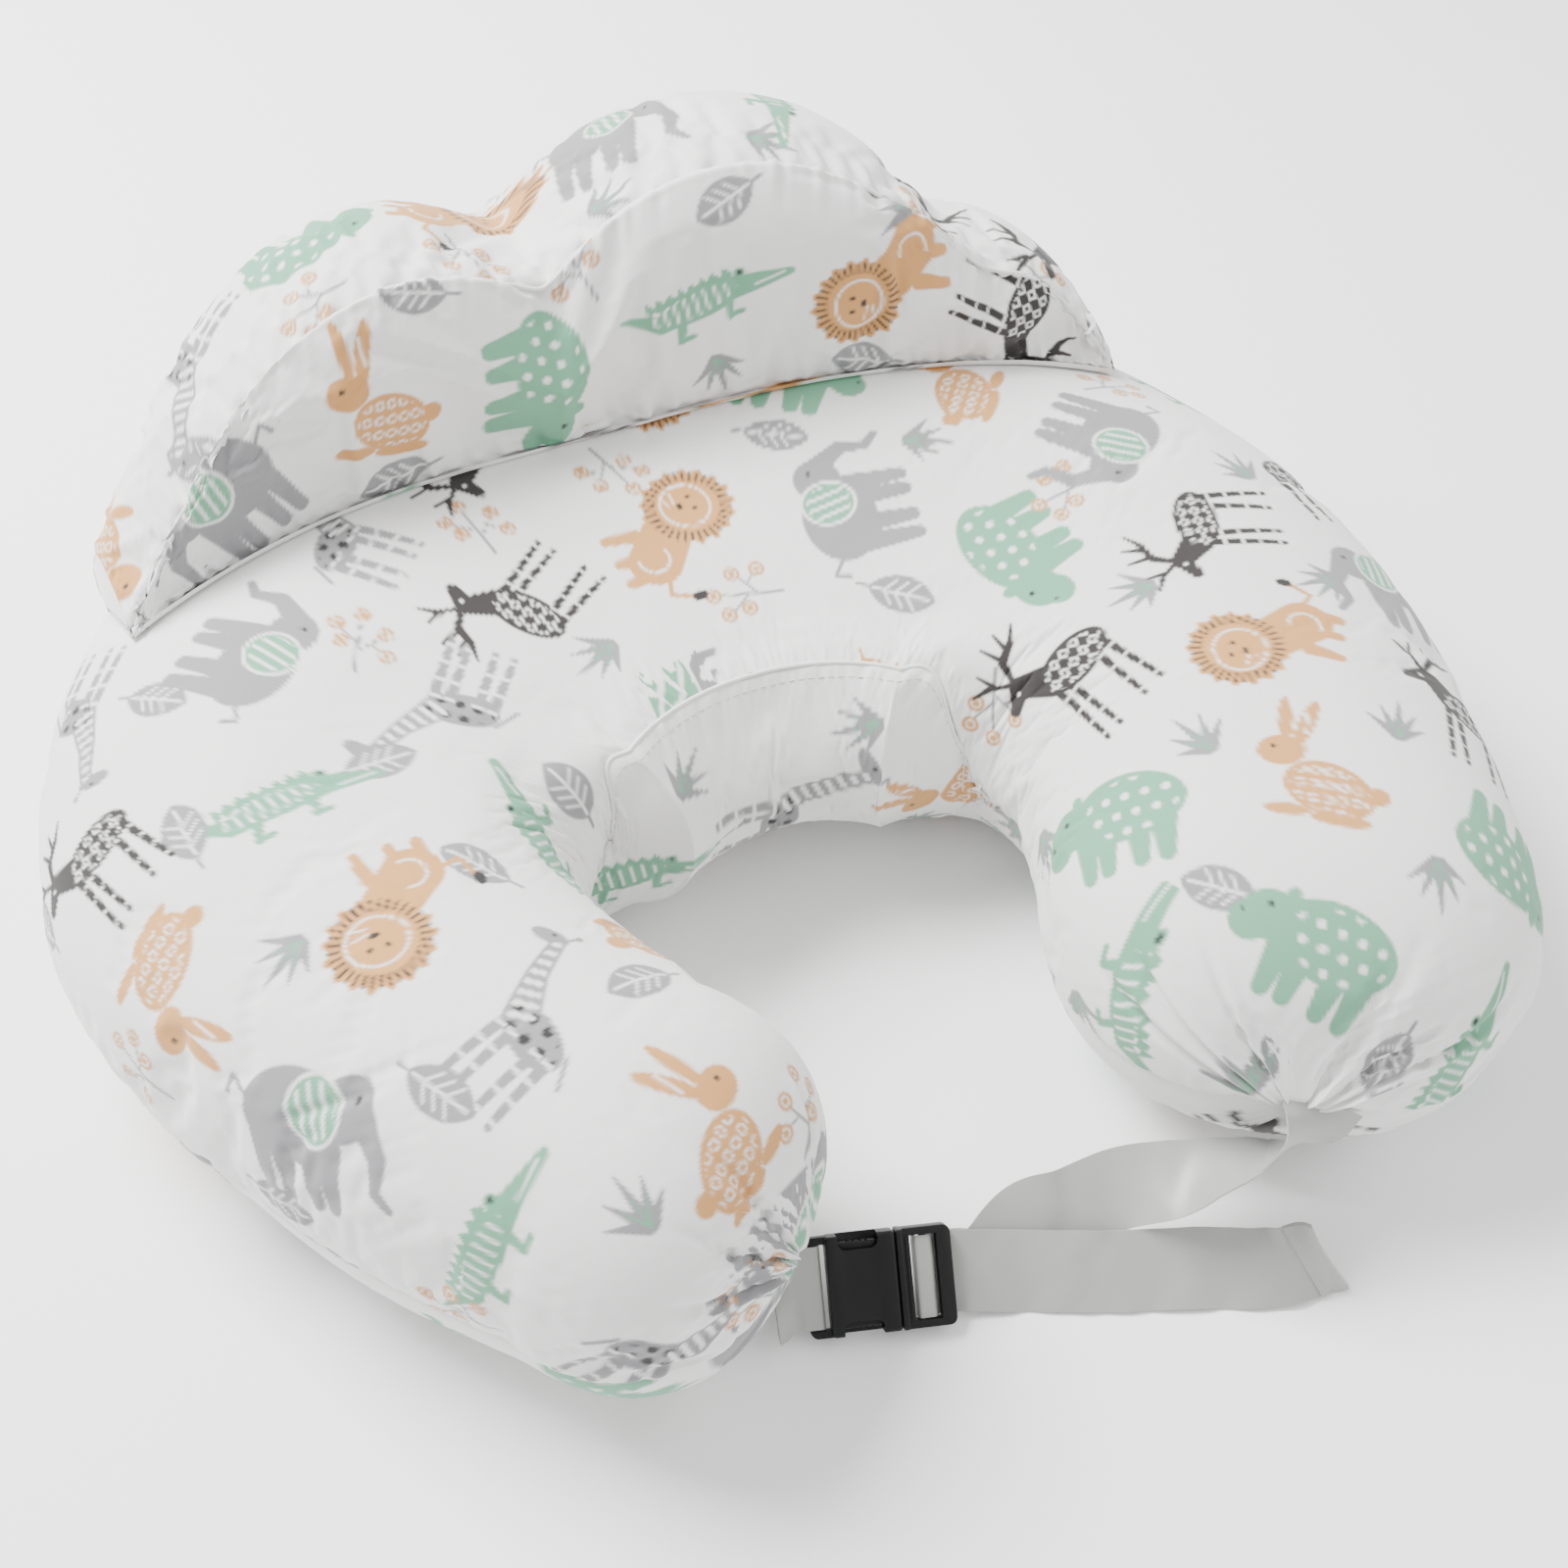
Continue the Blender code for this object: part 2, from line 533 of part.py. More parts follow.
def build_straps(parts, base, plug_pivot):
    frame = base.matrix_world
    turn = frame.to_3x3()
    up, face = turn @ Vector((0, 1, 0)), turn @ Vector((0, 0, 1))

    def local(points):
        return [frame @ Vector((x, 0.0, z)) for x, z in points]

    # short strap: from the arm tip over the socket's bar, through the slot and back
    lift = 0.0012 + GAP + RIBBON_THICKNESS / 2
    bar = BAR_X[1]
    turns = wrap(bar, 0.0, lift, 6, 90, -90)
    loop = [(-0.0060, lift), (-0.0012, lift)] + turns + [(-0.0012, -lift), (-0.0060, -lift)]
    points = [TIP_END + face * lift] + local(loop) + [TIP_END - face * lift]
    across = [TIP_ACROSS] + [up] * len(loop) + [TIP_ACROSS]
    ribbon("strap_short", frames_along(points, across, square=False), "ribbon", parts)

    # long strap: one ribbon from the right arm tip, under the plug's end bar, up through the window,
    # over the middle bar, down and back out under the end bar, where its tail starts
    under = -FRAME_DEPTH / 2 - 0.001 - GAP - RIBBON_THICKNESS / 2
    low = under - RIBBON_THICKNESS - 0.0010
    middle = (LADDER_BAR[0] + LADDER_BAR[1]) / 2
    over = 0.0012 + GAP + RIBBON_THICKNESS / 2
    run = [Vector(p) for p in RUN_ROUTE]
    run_across = [Vector(a).normalized() for a in RUN_ACROSS]
    far_end = [(0.0780, low - 0.0010), (0.0640, low), (0.0570, low), (0.0500, low)]
    points = run + local(far_end)
    across = run_across + [up] * len(far_end)
    ribbon("strap_long", frames_along(points, across), "ribbon", parts)
    fold = [Vector(p) for p in FOLD_ROUTE]
    fold_across = [Vector(a).normalized() for a in FOLD_ACROSS]
    ribbon("strap_fold", frames_along(fold, fold_across, square=False), "ribbon", parts)
    half = middle + 0.0021
    wrap_points = [(0.0466, low + 0.0008), (0.0468, 0.0), (0.0474, over), (middle, over + 0.0002),
                   (half + 0.0004, over), (0.0542, 0.0), (0.0545, under + 0.0010),
                   (0.0553, under - 0.0002), (0.0590, under - 0.0002), (0.0640, under - 0.0002)]
    tail = [Vector(p) for p in TAIL_ROUTE]
    points = local(wrap_points) + tail[:-1]
    across = [up] * len(wrap_points) + [Vector(a).normalized() for a in TAIL_ACROSS[:-1]]
    ribbon("strap_tail", frames_along(points, across), "ribbon", parts)
    last = [Vector(a).normalized() for a in TAIL_ACROSS[-2:]]
    ends = frames_along(tail[-2:] + [tail[-1] * 2 - tail[-2]], last + last[-1:])
    start, stop = ends[0], ends[1]
    hem = [(start[0] + (stop[0] - start[0]) * k, start[1], start[2]) for k in (0.14, 1.0)]
    ribbon("strap_tail_hem", hem, "ribbon", parts, width=RIBBON_WIDTH + 0.0004)


def empty(name, location, rotation=None, parent=None):
    made = bpy.data.objects.new(name, None)
    bpy.context.scene.collection.objects.link(made)
    made.matrix_world = Matrix.Translation(location) @ (rotation or Matrix.Identity(4))
    made.parent = parent
    bpy.context.view_layer.update()
    return made


def settle_on_origin(parts):
    """Moves everything so that the bottom centre of the object's box is at the origin."""
    depsgraph = bpy.context.evaluated_depsgraph_get()
    corners = []
    for obj in parts.objects:
        solid = obj.evaluated_get(depsgraph)
        corners += [obj.matrix_world @ v.co for v in solid.data.vertices]
    low = [min(c[i] for c in corners) for i in range(3)]
    high = [max(c[i] for c in corners) for i in range(3)]
    move = Vector((-(low[0] + high[0]) / 2, -(low[1] + high[1]) / 2, -low[2]))
    for obj in bpy.data.objects:
        if obj.parent is None:
            obj.matrix_world = Matrix.Translation(move) @ obj.matrix_world
    print("moved by", [round(m, 6) for m in move])
    for obj in bpy.data.objects:
        if obj.type == "EMPTY":
            print(obj.name, [round(m, 6) for m in obj.matrix_world.translation])


clear_scene()
PARTS = new_collection("nursing_pillow")
CUTTERS = new_collection("cutters")
build_cushion(PARTS)
HINGE = empty("guard_hinge", Vector((0, GUARD_BACK_Y, GUARD_HEM_Z)))
build_guard(PARTS)
slider_at = empty("zip_slider_pivot", Vector((ZIP_HALF - 0.012, ZIP_PLANE, ZIP_Z)))
pull_at = empty("zip_pull_pivot", Vector((ZIP_HALF - 0.016, ZIP_PLANE + 0.0051, ZIP_Z)))
build_zip(PARTS, slider_at, pull_at)
hang([obj for obj in PARTS.objects if obj.name.startswith(("guard", "zip_t"))], HINGE)
BUCKLE = empty("buckle_frame", Vector((0, 0, 0)), buckle_frame())
ROOTS = []
for label, sign in (("upper", 1), ("lower", -1)):
    pivot = empty("prong_pivot_" + label, Vector((0, 0, 0)),
                  buckle_frame() @ Matrix.Translation((PRONG_ROOT_X, sign * 0.0160, 0)))
    ROOTS.append(pivot)
build_buckle(PARTS, BUCKLE, BUCKLE, ROOTS)
build_straps(PARTS, BUCKLE, BUCKLE)
bpy.context.view_layer.update()
settle_on_origin(PARTS)
bpy.context.view_layer.update()
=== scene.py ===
import math
import random

import bpy
import numpy as np
from mathutils import Matrix, Vector


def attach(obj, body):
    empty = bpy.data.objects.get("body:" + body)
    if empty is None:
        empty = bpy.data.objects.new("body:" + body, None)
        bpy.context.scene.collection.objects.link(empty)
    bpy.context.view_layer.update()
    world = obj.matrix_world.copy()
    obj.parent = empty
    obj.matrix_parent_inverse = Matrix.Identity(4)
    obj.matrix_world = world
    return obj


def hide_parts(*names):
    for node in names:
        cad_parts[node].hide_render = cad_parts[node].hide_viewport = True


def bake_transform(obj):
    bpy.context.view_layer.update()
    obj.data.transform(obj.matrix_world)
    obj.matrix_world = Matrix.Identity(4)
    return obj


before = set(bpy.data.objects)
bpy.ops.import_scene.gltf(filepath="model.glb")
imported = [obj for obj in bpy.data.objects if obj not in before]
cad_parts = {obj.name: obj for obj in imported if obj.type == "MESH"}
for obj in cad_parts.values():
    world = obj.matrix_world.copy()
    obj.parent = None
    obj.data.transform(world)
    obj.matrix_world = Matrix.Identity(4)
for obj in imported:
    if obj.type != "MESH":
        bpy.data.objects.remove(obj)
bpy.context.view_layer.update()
scene = bpy.context.scene
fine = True

# the pillow's own frame is slid onto the box's bottom centre
shift = np.array((-0.003087, -0.074041, -0.0002))

cushion = {
    "height": 0.164, "sink": 0.006, "power": 2.25, "tipPower": 2.3, "backY": 0.214,
    "left": {"reach": 0.534, "bend": (4.1, 4.6, 7.9, 2.4, 0.4),
             "width": (0.156, 0.155, 0.120, 0.092, 0.079, 0.093)},
    "right": {"reach": 0.536, "bend": (4.1, 4.6, 6.3, 2.6, 0.2),
              "width": (0.156, 0.155, 0.120, 0.106, 0.106, 0.107)},
    "widthAt": (0.0, 0.3, 0.5, 0.65, 0.85, 1.0),
    "outerSeam": -8.0, "innerSeam": 188.0, "gussetTop": 142.0, "gussetFoot": 226.0, "gussetReach": 0.60,
    "bodySteps": 124 if fine else 60, "tipSteps": 28 if fine else 14,
    "topColumns": 60 if fine else 36, "bottomColumns": 30, "gussetColumns": 24,
    "loose": 0.022, "pressure": 3.0,
}

guard = {
    "halfWidth": 0.250, "lean": 15.0,
    "lobes": ((-0.100, 0.257, 0.104), (0.062, 0.274, 0.112), (0.190, 0.206, 0.032)),
    "frontY": 0.236, "frontCurve": 0.60, "backY": 0.377, "backCurve": 2.60, "backFlat": 0.060,
    "hemZ": 0.104, "backDrop": 0.034, "clearance": 0.0006,
    "columns": 110 if fine else 60, "loose": 0.03, "pressure": 4.0,
}


# small numeric helpers
def unit(vectors):
    return vectors / np.maximum(np.linalg.norm(vectors, axis=-1, keepdims=True), 1e-9)


def smooth(low, high, x):
    t = np.clip((x - low) / (high - low), 0, 1)
    return t * t * (3 - 2 * t)


def ripple(s, period, seed):
    # a gentle uneven wave along s, between about -1 and 1
    rng = random.Random(seed)
    total = 0
    for share, weight in ((1.0, 0.5), (0.61, 0.3), (1.73, 0.35), (0.37, 0.12)):
        total = total + weight * np.sin(2 * math.pi * s / (period * share) + rng.uniform(0, 6.28))
    return total


def lumps(points, size, seed):
    # soft three-dimensional bumps, between about -1 and 1
    rng = random.Random(seed)
    total = np.zeros(points.shape[:-1])
    for _ in range(9):
        way = np.array([rng.gauss(0, 1) for _ in range(3)])
        way = way / np.linalg.norm(way) * 2 * math.pi / (size * rng.uniform(0.7, 1.5))
        total += np.sin(points @ way + rng.uniform(0, 6.28)) / 3.4
    return total


def denser(grid, axis, count):
    # smoothly puts count - 1 rows between each two rows of a grid
    if count < 2:
        return grid
    rows = np.moveaxis(grid, axis, 0)
    more = np.concatenate([2 * rows[:1] - rows[1:2], rows, 2 * rows[-1:] - rows[-2:-1]])
    a, b, c, d = more[:-3], more[1:-2], more[2:-1], more[3:]
    found = []
    for j in range(count):
        t = j / count
        found.append(0.5 * (2 * b + (c - a) * t + (2 * a - 5 * b + 4 * c - d) * t * t
                            + (3 * b - a - 3 * c + d) * t * t * t))
    made = np.stack(found, 1).reshape(-1, *rows.shape[1:])
    return np.moveaxis(np.concatenate([made, rows[-1:]]), 0, axis)


def gridNormals(grid):
    return unit(np.cross(np.gradient(grid, axis=0), np.gradient(grid, axis=1)))


def along(grid, axis):
    # distance along each line of a grid from its start
    steps = np.linalg.norm(np.diff(grid, axis=axis), axis=-1)
    total = np.cumsum(steps, axis=axis)
    pad = [(0, 0), (0, 0)]
    pad[axis] = (1, 0)
    return np.pad(total, pad)


# meshes from grids
def gridMesh(name, grid, colours=None):
    rows, columns = grid.shape[:2]
    index = np.arange(rows * columns).reshape(rows, columns)
    quads = np.stack([index[:-1, :-1], index[1:, :-1], index[1:, 1:], index[:-1, 1:]], -1).reshape(-1, 4)
    mesh = bpy.data.meshes.new(name)
    mesh.vertices.add(rows * columns)
    mesh.vertices.foreach_set("co", grid.reshape(-1).astype(np.float32))
    mesh.loops.add(quads.size)
    mesh.loops.foreach_set("vertex_index", quads.reshape(-1))
    mesh.polygons.add(len(quads))
    mesh.polygons.foreach_set("loop_start", np.arange(0, quads.size, 4))
    if colours is not None:
        layer = mesh.attributes.new("print", "FLOAT_COLOR", "POINT")
        flat = np.ones((rows * columns, 4), np.float32)
        flat[:, :3] = colours.reshape(-1, 3)
        layer.data.foreach_set("color", flat.reshape(-1))
    mesh.update(calc_edges=True)
    mesh.shade_smooth()
    obj = bpy.data.objects.new(name, mesh)
    scene.collection.objects.link(obj)
    return obj


def outward(grid, heart):
    # the grid, its columns turned round where needed so that its normals point away from heart
    normals = gridNormals(grid)
    mid = grid.shape[0] // 2, grid.shape[1] // 2
    facing = np.dot(normals[mid], grid[mid] - heart)
    return grid if facing > 0 else grid[:, ::-1]


def inflate(grid, loose, pressure, frames=16):
    # cloth held along its four edges, cut a little loose and blown up from inside
    if not fine:
        return grid
    obj = gridMesh("cloth", grid)
    rows, columns = grid.shape[:2]
    index = np.arange(rows * columns).reshape(rows, columns)
    edge = np.unique(np.concatenate([index[0], index[-1], index[:, 0], index[:, -1]]))
    pinned = obj.vertex_groups.new(name="pinned")
    pinned.add([int(i) for i in edge], 1.0, "REPLACE")
    cloth = obj.modifiers.new("cloth", "CLOTH")
    cloth.settings.quality = 4
    cloth.settings.mass = 0.2
    cloth.settings.tension_stiffness = 25
    cloth.settings.compression_stiffness = 25
    cloth.settings.shear_stiffness = 12
    cloth.settings.bending_stiffness = 0.06
    cloth.settings.air_damping = 4
    cloth.settings.vertex_group_mass = "pinned"
    cloth.settings.shrink_min = -loose
    cloth.settings.use_pressure = True
    cloth.settings.uniform_pressure_force = pressure
    cloth.settings.effector_weights.gravity = 0
    cloth.collision_settings.use_collision = False
    cloth.point_cache.frame_end = frames
    for number in range(1, frames + 1):
        scene.frame_set(number)
    shaped = obj.evaluated_get(bpy.context.evaluated_depsgraph_get()).to_mesh()
    found = np.zeros(rows * columns * 3, np.float32)
    shaped.vertices.foreach_get("co", found)
    bpy.data.objects.remove(obj, do_unlink=True)
    scene.frame_set(1)
    return found.reshape(grid.shape).astype(float)


# printed motifs
inks = {
    "cloth": (0.80, 0.795, 0.785), "grey": (0.25, 0.25, 0.26), "mint": (0.15, 0.37, 0.235),
    "sand": (0.57, 0.285, 0.095), "coal": (0.022, 0.019, 0.018), "pale": (0.78, 0.775, 0.76),
}


def ellipse(x, y, cx, cy, rx, ry, turn=0.0):
    c, s = math.cos(math.radians(turn)), math.sin(math.radians(turn))
    px, py = (x - cx) * c + (y - cy) * s, (y - cy) * c - (x - cx) * s
    near = np.sqrt((px / rx) ** 2 + (py / ry) ** 2)
    slope = np.sqrt((px / rx ** 2) ** 2 + (py / ry ** 2) ** 2)
    return near * (near - 1) / np.maximum(slope, 1e-6)


def bar(x, y, ax, ay, bx, by, ra, rb=None):
    rb = ra if rb is None else rb
    dx, dy = bx - ax, by - ay
    h = np.clip(((x - ax) * dx + (y - ay) * dy) / (dx * dx + dy * dy + 1e-9), 0, 1)
    return np.hypot(x - ax - h * dx, y - ay - h * dy) - (ra + (rb - ra) * h)


def line(x, y, points, radii):
    parts = [bar(x, y, *p, *q, r, t) for p, q, r, t in zip(points, points[1:], radii, radii[1:])]
    return joined(*parts)


def joined(*parts):
    total = parts[0]
    for part in parts[1:]:
        total = np.minimum(total, part)
    return total


def dots(x, y, step, radius, inside, margin=0.05):
    gx, gy = x / step, y / step
    row = np.round(gy)
    gx = gx + 0.5 * (row % 2)
    spot = np.hypot(gx - np.round(gx), gy - row) * step - radius
    return np.maximum(spot, inside + margin)


def stripes(x, step, width, inside, margin=0.04):
    away = np.abs(x / step - np.round(x / step)) * step - width
    return np.maximum(away, inside + margin)


def legs(x, y, places, top, foot, radius):
    return joined(*[bar(x, y, px, top, px + lean, foot, radius * 1.25, radius * 0.8)
                    for px, lean in places])


def giraffe(x, y):
    body = ellipse(x, y, -0.12, -0.12, 0.40, 0.22, 12)
    neck = line(x, y, ((0.12, -0.02), (0.34, 0.34), (0.50, 0.72)), (0.17, 0.11, 0.08))
    head = ellipse(x, y, 0.63, 0.76, 0.19, 0.09, -18)
    horns = joined(bar(x, y, 0.50, 0.78, 0.46, 0.94, 0.018), ellipse(x, y, 0.45, 0.95, 0.035, 0.035))
    stand = legs(x, y, ((-0.42, -0.03), (-0.27, 0.02), (0.03, 0.0), (0.18, 0.04)), -0.2, -0.92, 0.05)
    tail = bar(x, y, -0.5, -0.06, -0.66, -0.32, 0.02)
    whole = joined(body, neck, head, horns, stand, tail)
    return [("grey", whole), ("coal", dots(x, y, 0.19, 0.055, body)),
            ("pale", stripes(x * 0.5 + y * 0.9, 0.13, 0.028, neck, 0.035)),
            ("pale", stripes(y, 0.22, 0.02, stand, 0.0)), ("coal", ellipse(x, y, 0.62, 0.80, 0.022, 0.022))]


def elephant(x, y):
    body = joined(ellipse(x, y, -0.12, 0.10, 0.55, 0.42, -5), ellipse(x, y, 0.42, 0.22, 0.28, 0.27))
    trunk = line(x, y, ((0.60, 0.18), (0.80, -0.12), (0.78, -0.42), (0.92, -0.56)),
                 (0.13, 0.09, 0.06, 0.045))
    stand = legs(x, y, ((-0.48, 0), (-0.24, 0), (0.10, 0), (0.30, 0)), -0.1, -0.68, 0.105)
    tail = line(x, y, ((-0.62, 0.2), (-0.82, 0.34), (-0.86, 0.2)), (0.025, 0.02, 0.03))
    ear = ellipse(x, y, 0.10, 0.18, 0.27, 0.30, 15)
    return [("grey", joined(body, trunk, stand, tail)), ("pale", ear - 0.02), ("mint", ear + 0.015),
            ("pale", stripes(x + 0.25 * y, 0.125, 0.02, ear, 0.05)),
            ("coal", ellipse(x, y, 0.52, 0.30, 0.028, 0.028))]


def lion(x, y):
    fold = np.arctan2(y - 0.22, x - 0.22)
    reach = np.hypot(x - 0.22, y - 0.22)
    mane = reach - 0.50 - 0.035 * np.cos(fold * 17)
    body = line(x, y, ((0.0, -0.15), (-0.30, -0.45)), (0.28, 0.30))
    feet = legs(x, y, ((-0.45, 0), (-0.2, 0.02), (0.1, 0.05)), -0.5, -0.82, 0.075)
    tail = line(x, y, ((-0.5, -0.4), (-0.75, -0.5), (-0.85, -0.28)), (0.03, 0.025, 0.03))
    tuft = ellipse(x, y, -0.87, -0.22, 0.06, 0.09)
    rays = np.maximum(np.abs(np.sin(fold * 17)) * reach / 17 - 0.013, np.abs(reach - 0.42) - 0.065)
    face = ellipse(x, y, 0.24, 0.20, 0.29, 0.27)
    whisker = joined(bar(x, y, 0.30, 0.10, 0.46, 0.12, 0.010), bar(x, y, 0.30, 0.04, 0.45, 0.00, 0.010))
    return [("sand", joined(mane, body, feet, tail)), ("coal", tuft), ("coal", rays),
            ("pale", np.abs(face) - 0.012), ("pale", whisker),
            ("pale", np.abs(ellipse(x, y, -0.26, -0.45, 0.17, 0.17)) - 0.013 + 0.5 * (x > -0.2)),
            ("coal", joined(ellipse(x, y, 0.16, 0.28, 0.028, 0.028), ellipse(x, y, 0.33, 0.28, 0.028, 0.028),
                            ellipse(x, y, 0.25, 0.14, 0.05, 0.032)))]


def rabbit(x, y):
    body = ellipse(x, y, -0.15, -0.22, 0.46, 0.33, 18)
    head = ellipse(x, y, 0.34, 0.20, 0.24, 0.19, -10)
    ears = joined(ellipse(x, y, 0.12, 0.58, 0.085, 0.33, 14), ellipse(x, y, 0.33, 0.60, 0.075, 0.30, -6))
    paws = joined(ellipse(x, y, 0.24, -0.52, 0.22, 0.075), ellipse(x, y, -0.28, -0.56, 0.30, 0.08))
    tail = ellipse(x, y, -0.62, -0.20, 0.12, 0.11)
    curls = np.abs(np.hypot((x / 0.14 - np.round(x / 0.14)) * 0.14,
                            (y / 0.17 - np.round(y / 0.17)) * 0.17) - 0.045) - 0.010
    return [("sand", joined(body, head, ears, paws, tail)), ("pale", np.maximum(curls, body + 0.06)),
            ("coal", ellipse(x, y, 0.42, 0.24, 0.028, 0.028)),
            ("pale", bar(x, y, 0.11, 0.46, 0.13, 0.72, 0.016))]


def hippo(x, y):
    body = joined(ellipse(x, y, -0.10, 0.08, 0.62, 0.40), ellipse(x, y, 0.55, 0.08, 0.30, 0.25, -12))
    snout = ellipse(x, y, 0.72, -0.06, 0.20, 0.19)
    stand = legs(x, y, ((-0.48, 0), (-0.22, 0), (0.14, 0), (0.36, 0)), -0.1, -0.56, 0.115)
    ear = ellipse(x, y, 0.44, 0.34, 0.07, 0.09)
    return [("mint", joined(body, snout, stand, ear)), ("pale", dots(x, y, 0.21, 0.045, ellipse(
        x, y, -0.14, 0.08, 0.52, 0.36), 0.02)), ("coal", ellipse(x, y, 0.60, 0.18, 0.03, 0.03)),
            ("coal", ellipse(x, y, 0.82, 0.02, 0.018, 0.018))]


def crocodile(x, y):
    body = line(x, y, ((-0.95, 0.18), (-0.55, -0.05), (0.0, 0.0), (0.40, -0.02), (0.95, -0.10)),
                (0.02, 0.11, 0.19, 0.13, 0.05))
    saw = np.abs(((x + 0.05) / 0.13) % 1.0 - 0.5) * 0.16
    back = np.maximum(np.abs(y - 0.16) - 0.10 + saw, np.abs(x + 0.15) - 0.50)
    feet = joined(bar(x, y, -0.32, -0.10, -0.40, -0.34, 0.06, 0.045),
                  bar(x, y, -0.40, -0.34, -0.26, -0.34, 0.035),
                  bar(x, y, 0.25, -0.08, 0.20, -0.32, 0.06, 0.045),
                  bar(x, y, 0.20, -0.32, 0.34, -0.32, 0.035))
    eye = ellipse(x, y, 0.42, 0.12, 0.07, 0.07)
    scale = stripes(x, 0.12, 0.016, ellipse(x, y, -0.15, 0.0, 0.50, 0.13), 0.0)
    teeth = np.maximum(np.abs(y + 0.075) - 0.012, np.abs(x - 0.72) - 0.18)
    return [("mint", joined(body, back, feet, eye)), ("pale", scale), ("pale", teeth),
            ("coal", ellipse(x, y, 0.43, 0.13, 0.03, 0.03))]


def moose(x, y):
    body = ellipse(x, y, -0.16, 0.02, 0.44, 0.24, 4)
    neck = line(x, y, ((0.15, 0.08), (0.40, 0.32), (0.62, 0.22)), (0.18, 0.12, 0.07))
    stand = legs(x, y, ((-0.50, -0.06), (-0.36, 0.04), (0.06, 0.0), (0.19, 0.06)), -0.05, -0.86, 0.04)
    horn = line(x, y, ((0.40, 0.40), (0.30, 0.62), (0.08, 0.70)), (0.035, 0.05, 0.04))
    tines = joined(*[bar(x, y, px, py, px + ex, py + ey, 0.034, 0.015) for px, py, ex, ey in (
        (0.08, 0.70, -0.16, 0.14), (0.16, 0.68, -0.04, 0.22), (0.28, 0.64, 0.04, 0.24),
        (0.44, 0.42, 0.20, 0.20), (0.55, 0.54, 0.02, 0.20), (0.60, 0.58, 0.18, 0.08))])
    gem = np.abs(x / 0.15 - np.round(x / 0.15)) + np.abs(y / 0.15 - np.round(y / 0.15))
    lattice = np.maximum(np.abs(gem - 0.34) * 0.11 - 0.012, body + 0.05)
    return [("coal", joined(body, neck, stand, horn, tines)), ("pale", lattice),
            ("pale", stripes(y, 0.2, 0.013, stand, 0.0)), ("pale", ellipse(x, y, 0.46, 0.30, 0.022, 0.022))]


def berries(x, y):
    stem = joined(bar(x, y, 0, -0.95, 0.02, 0.5, 0.045, 0.03), bar(x, y, 0, -0.35, -0.5, 0.1, 0.03),
                  bar(x, y, 0, -0.15, 0.5, 0.30, 0.03), bar(x, y, -0.25, -0.12, -0.6, -0.35, 0.025))
    fruit = joined(*[ellipse(x, y, px, py, 0.20, 0.20) for px, py in (
        (0.02, 0.72), (-0.56, 0.20), (0.56, 0.42), (-0.66, -0.42), (0.40, -0.10))])
    seeds = joined(*[np.abs(ellipse(x, y, px, py, 0.10, 0.10)) - 0.02 for px, py in (
        (0.02, 0.72), (-0.56, 0.20), (0.56, 0.42), (-0.66, -0.42), (0.40, -0.10))])
    return [("grey", stem), ("sand", fruit), ("pale", seeds)]


def leaf(x, y):
    blade = np.maximum(ellipse(x, y, -0.45, 0.1, 0.95, 0.95), ellipse(x, y, 0.45, 0.1, 0.95, 0.95))
    veins = joined(bar(x, y, 0, -0.6, 0, 0.75, 0.035), *[bar(x, y, 0, h, sign * 0.34, h + 0.26, 0.028)
                                                        for h in (-0.35, -0.08, 0.2) for sign in (-1, 1)])
    return [("grey", joined(blade, bar(x, y, 0, -0.6, 0, -1.0, 0.045))),
            ("pale", np.maximum(veins, blade + 0.07))]


def tuft(x, y):
    blades = joined(*[bar(x, y, 0, -0.5, math.sin(a) * r, -0.5 + math.cos(a) * r, 0.17, 0.02)
                      for a, r in ((-1.1, 0.75), (-0.6, 0.95), (-0.15, 1.2), (0.35, 1.0), (0.85, 0.9))])
    lines = joined(*[bar(x, y, 0, -0.5, math.sin(a) * 0.6, -0.5 + math.cos(a) * 0.6, 0.03, 0.015)
                     for a in (-0.6, -0.15, 0.35)])
    return [("grey", np.maximum(blades, -0.62 - y)), ("mint", lines)]


bigMotifs = (moose, giraffe, hippo, elephant, rabbit, lion, crocodile)
smallMotifs = (berries, leaf, tuft)


def stamp(points, normals, colours, centre, out, way, motif, size, turn, mirror):
    # prints one motif round centre, laid flat on the cloth there
    away = points - centre
    near = np.flatnonzero(np.einsum("ij,ij->i", away, away) < (1.15 * size) ** 2)
    if not len(near):
        return
    away = away[near]
    side = np.cross(out, way)
    c, s = math.cos(turn), math.sin(turn)
    ex, ey = way * c + side * s, side * c - way * s
    facing = normals[near] @ out > 0.2
    x, y = away @ ex / size * mirror, away @ ey / size
    edge = 0.45 * printing["blur"] / size
    for ink, depth in motif(x, y):
        share = np.clip(0.5 - depth / (2 * edge), 0, 1) * facing
        colours[near] += (np.array(inks[ink]) - colours[near]) * share[:, None]


printing = {"step": 0.088, "big": 0.0435, "small": 0.0195, "blur": 0.0010}


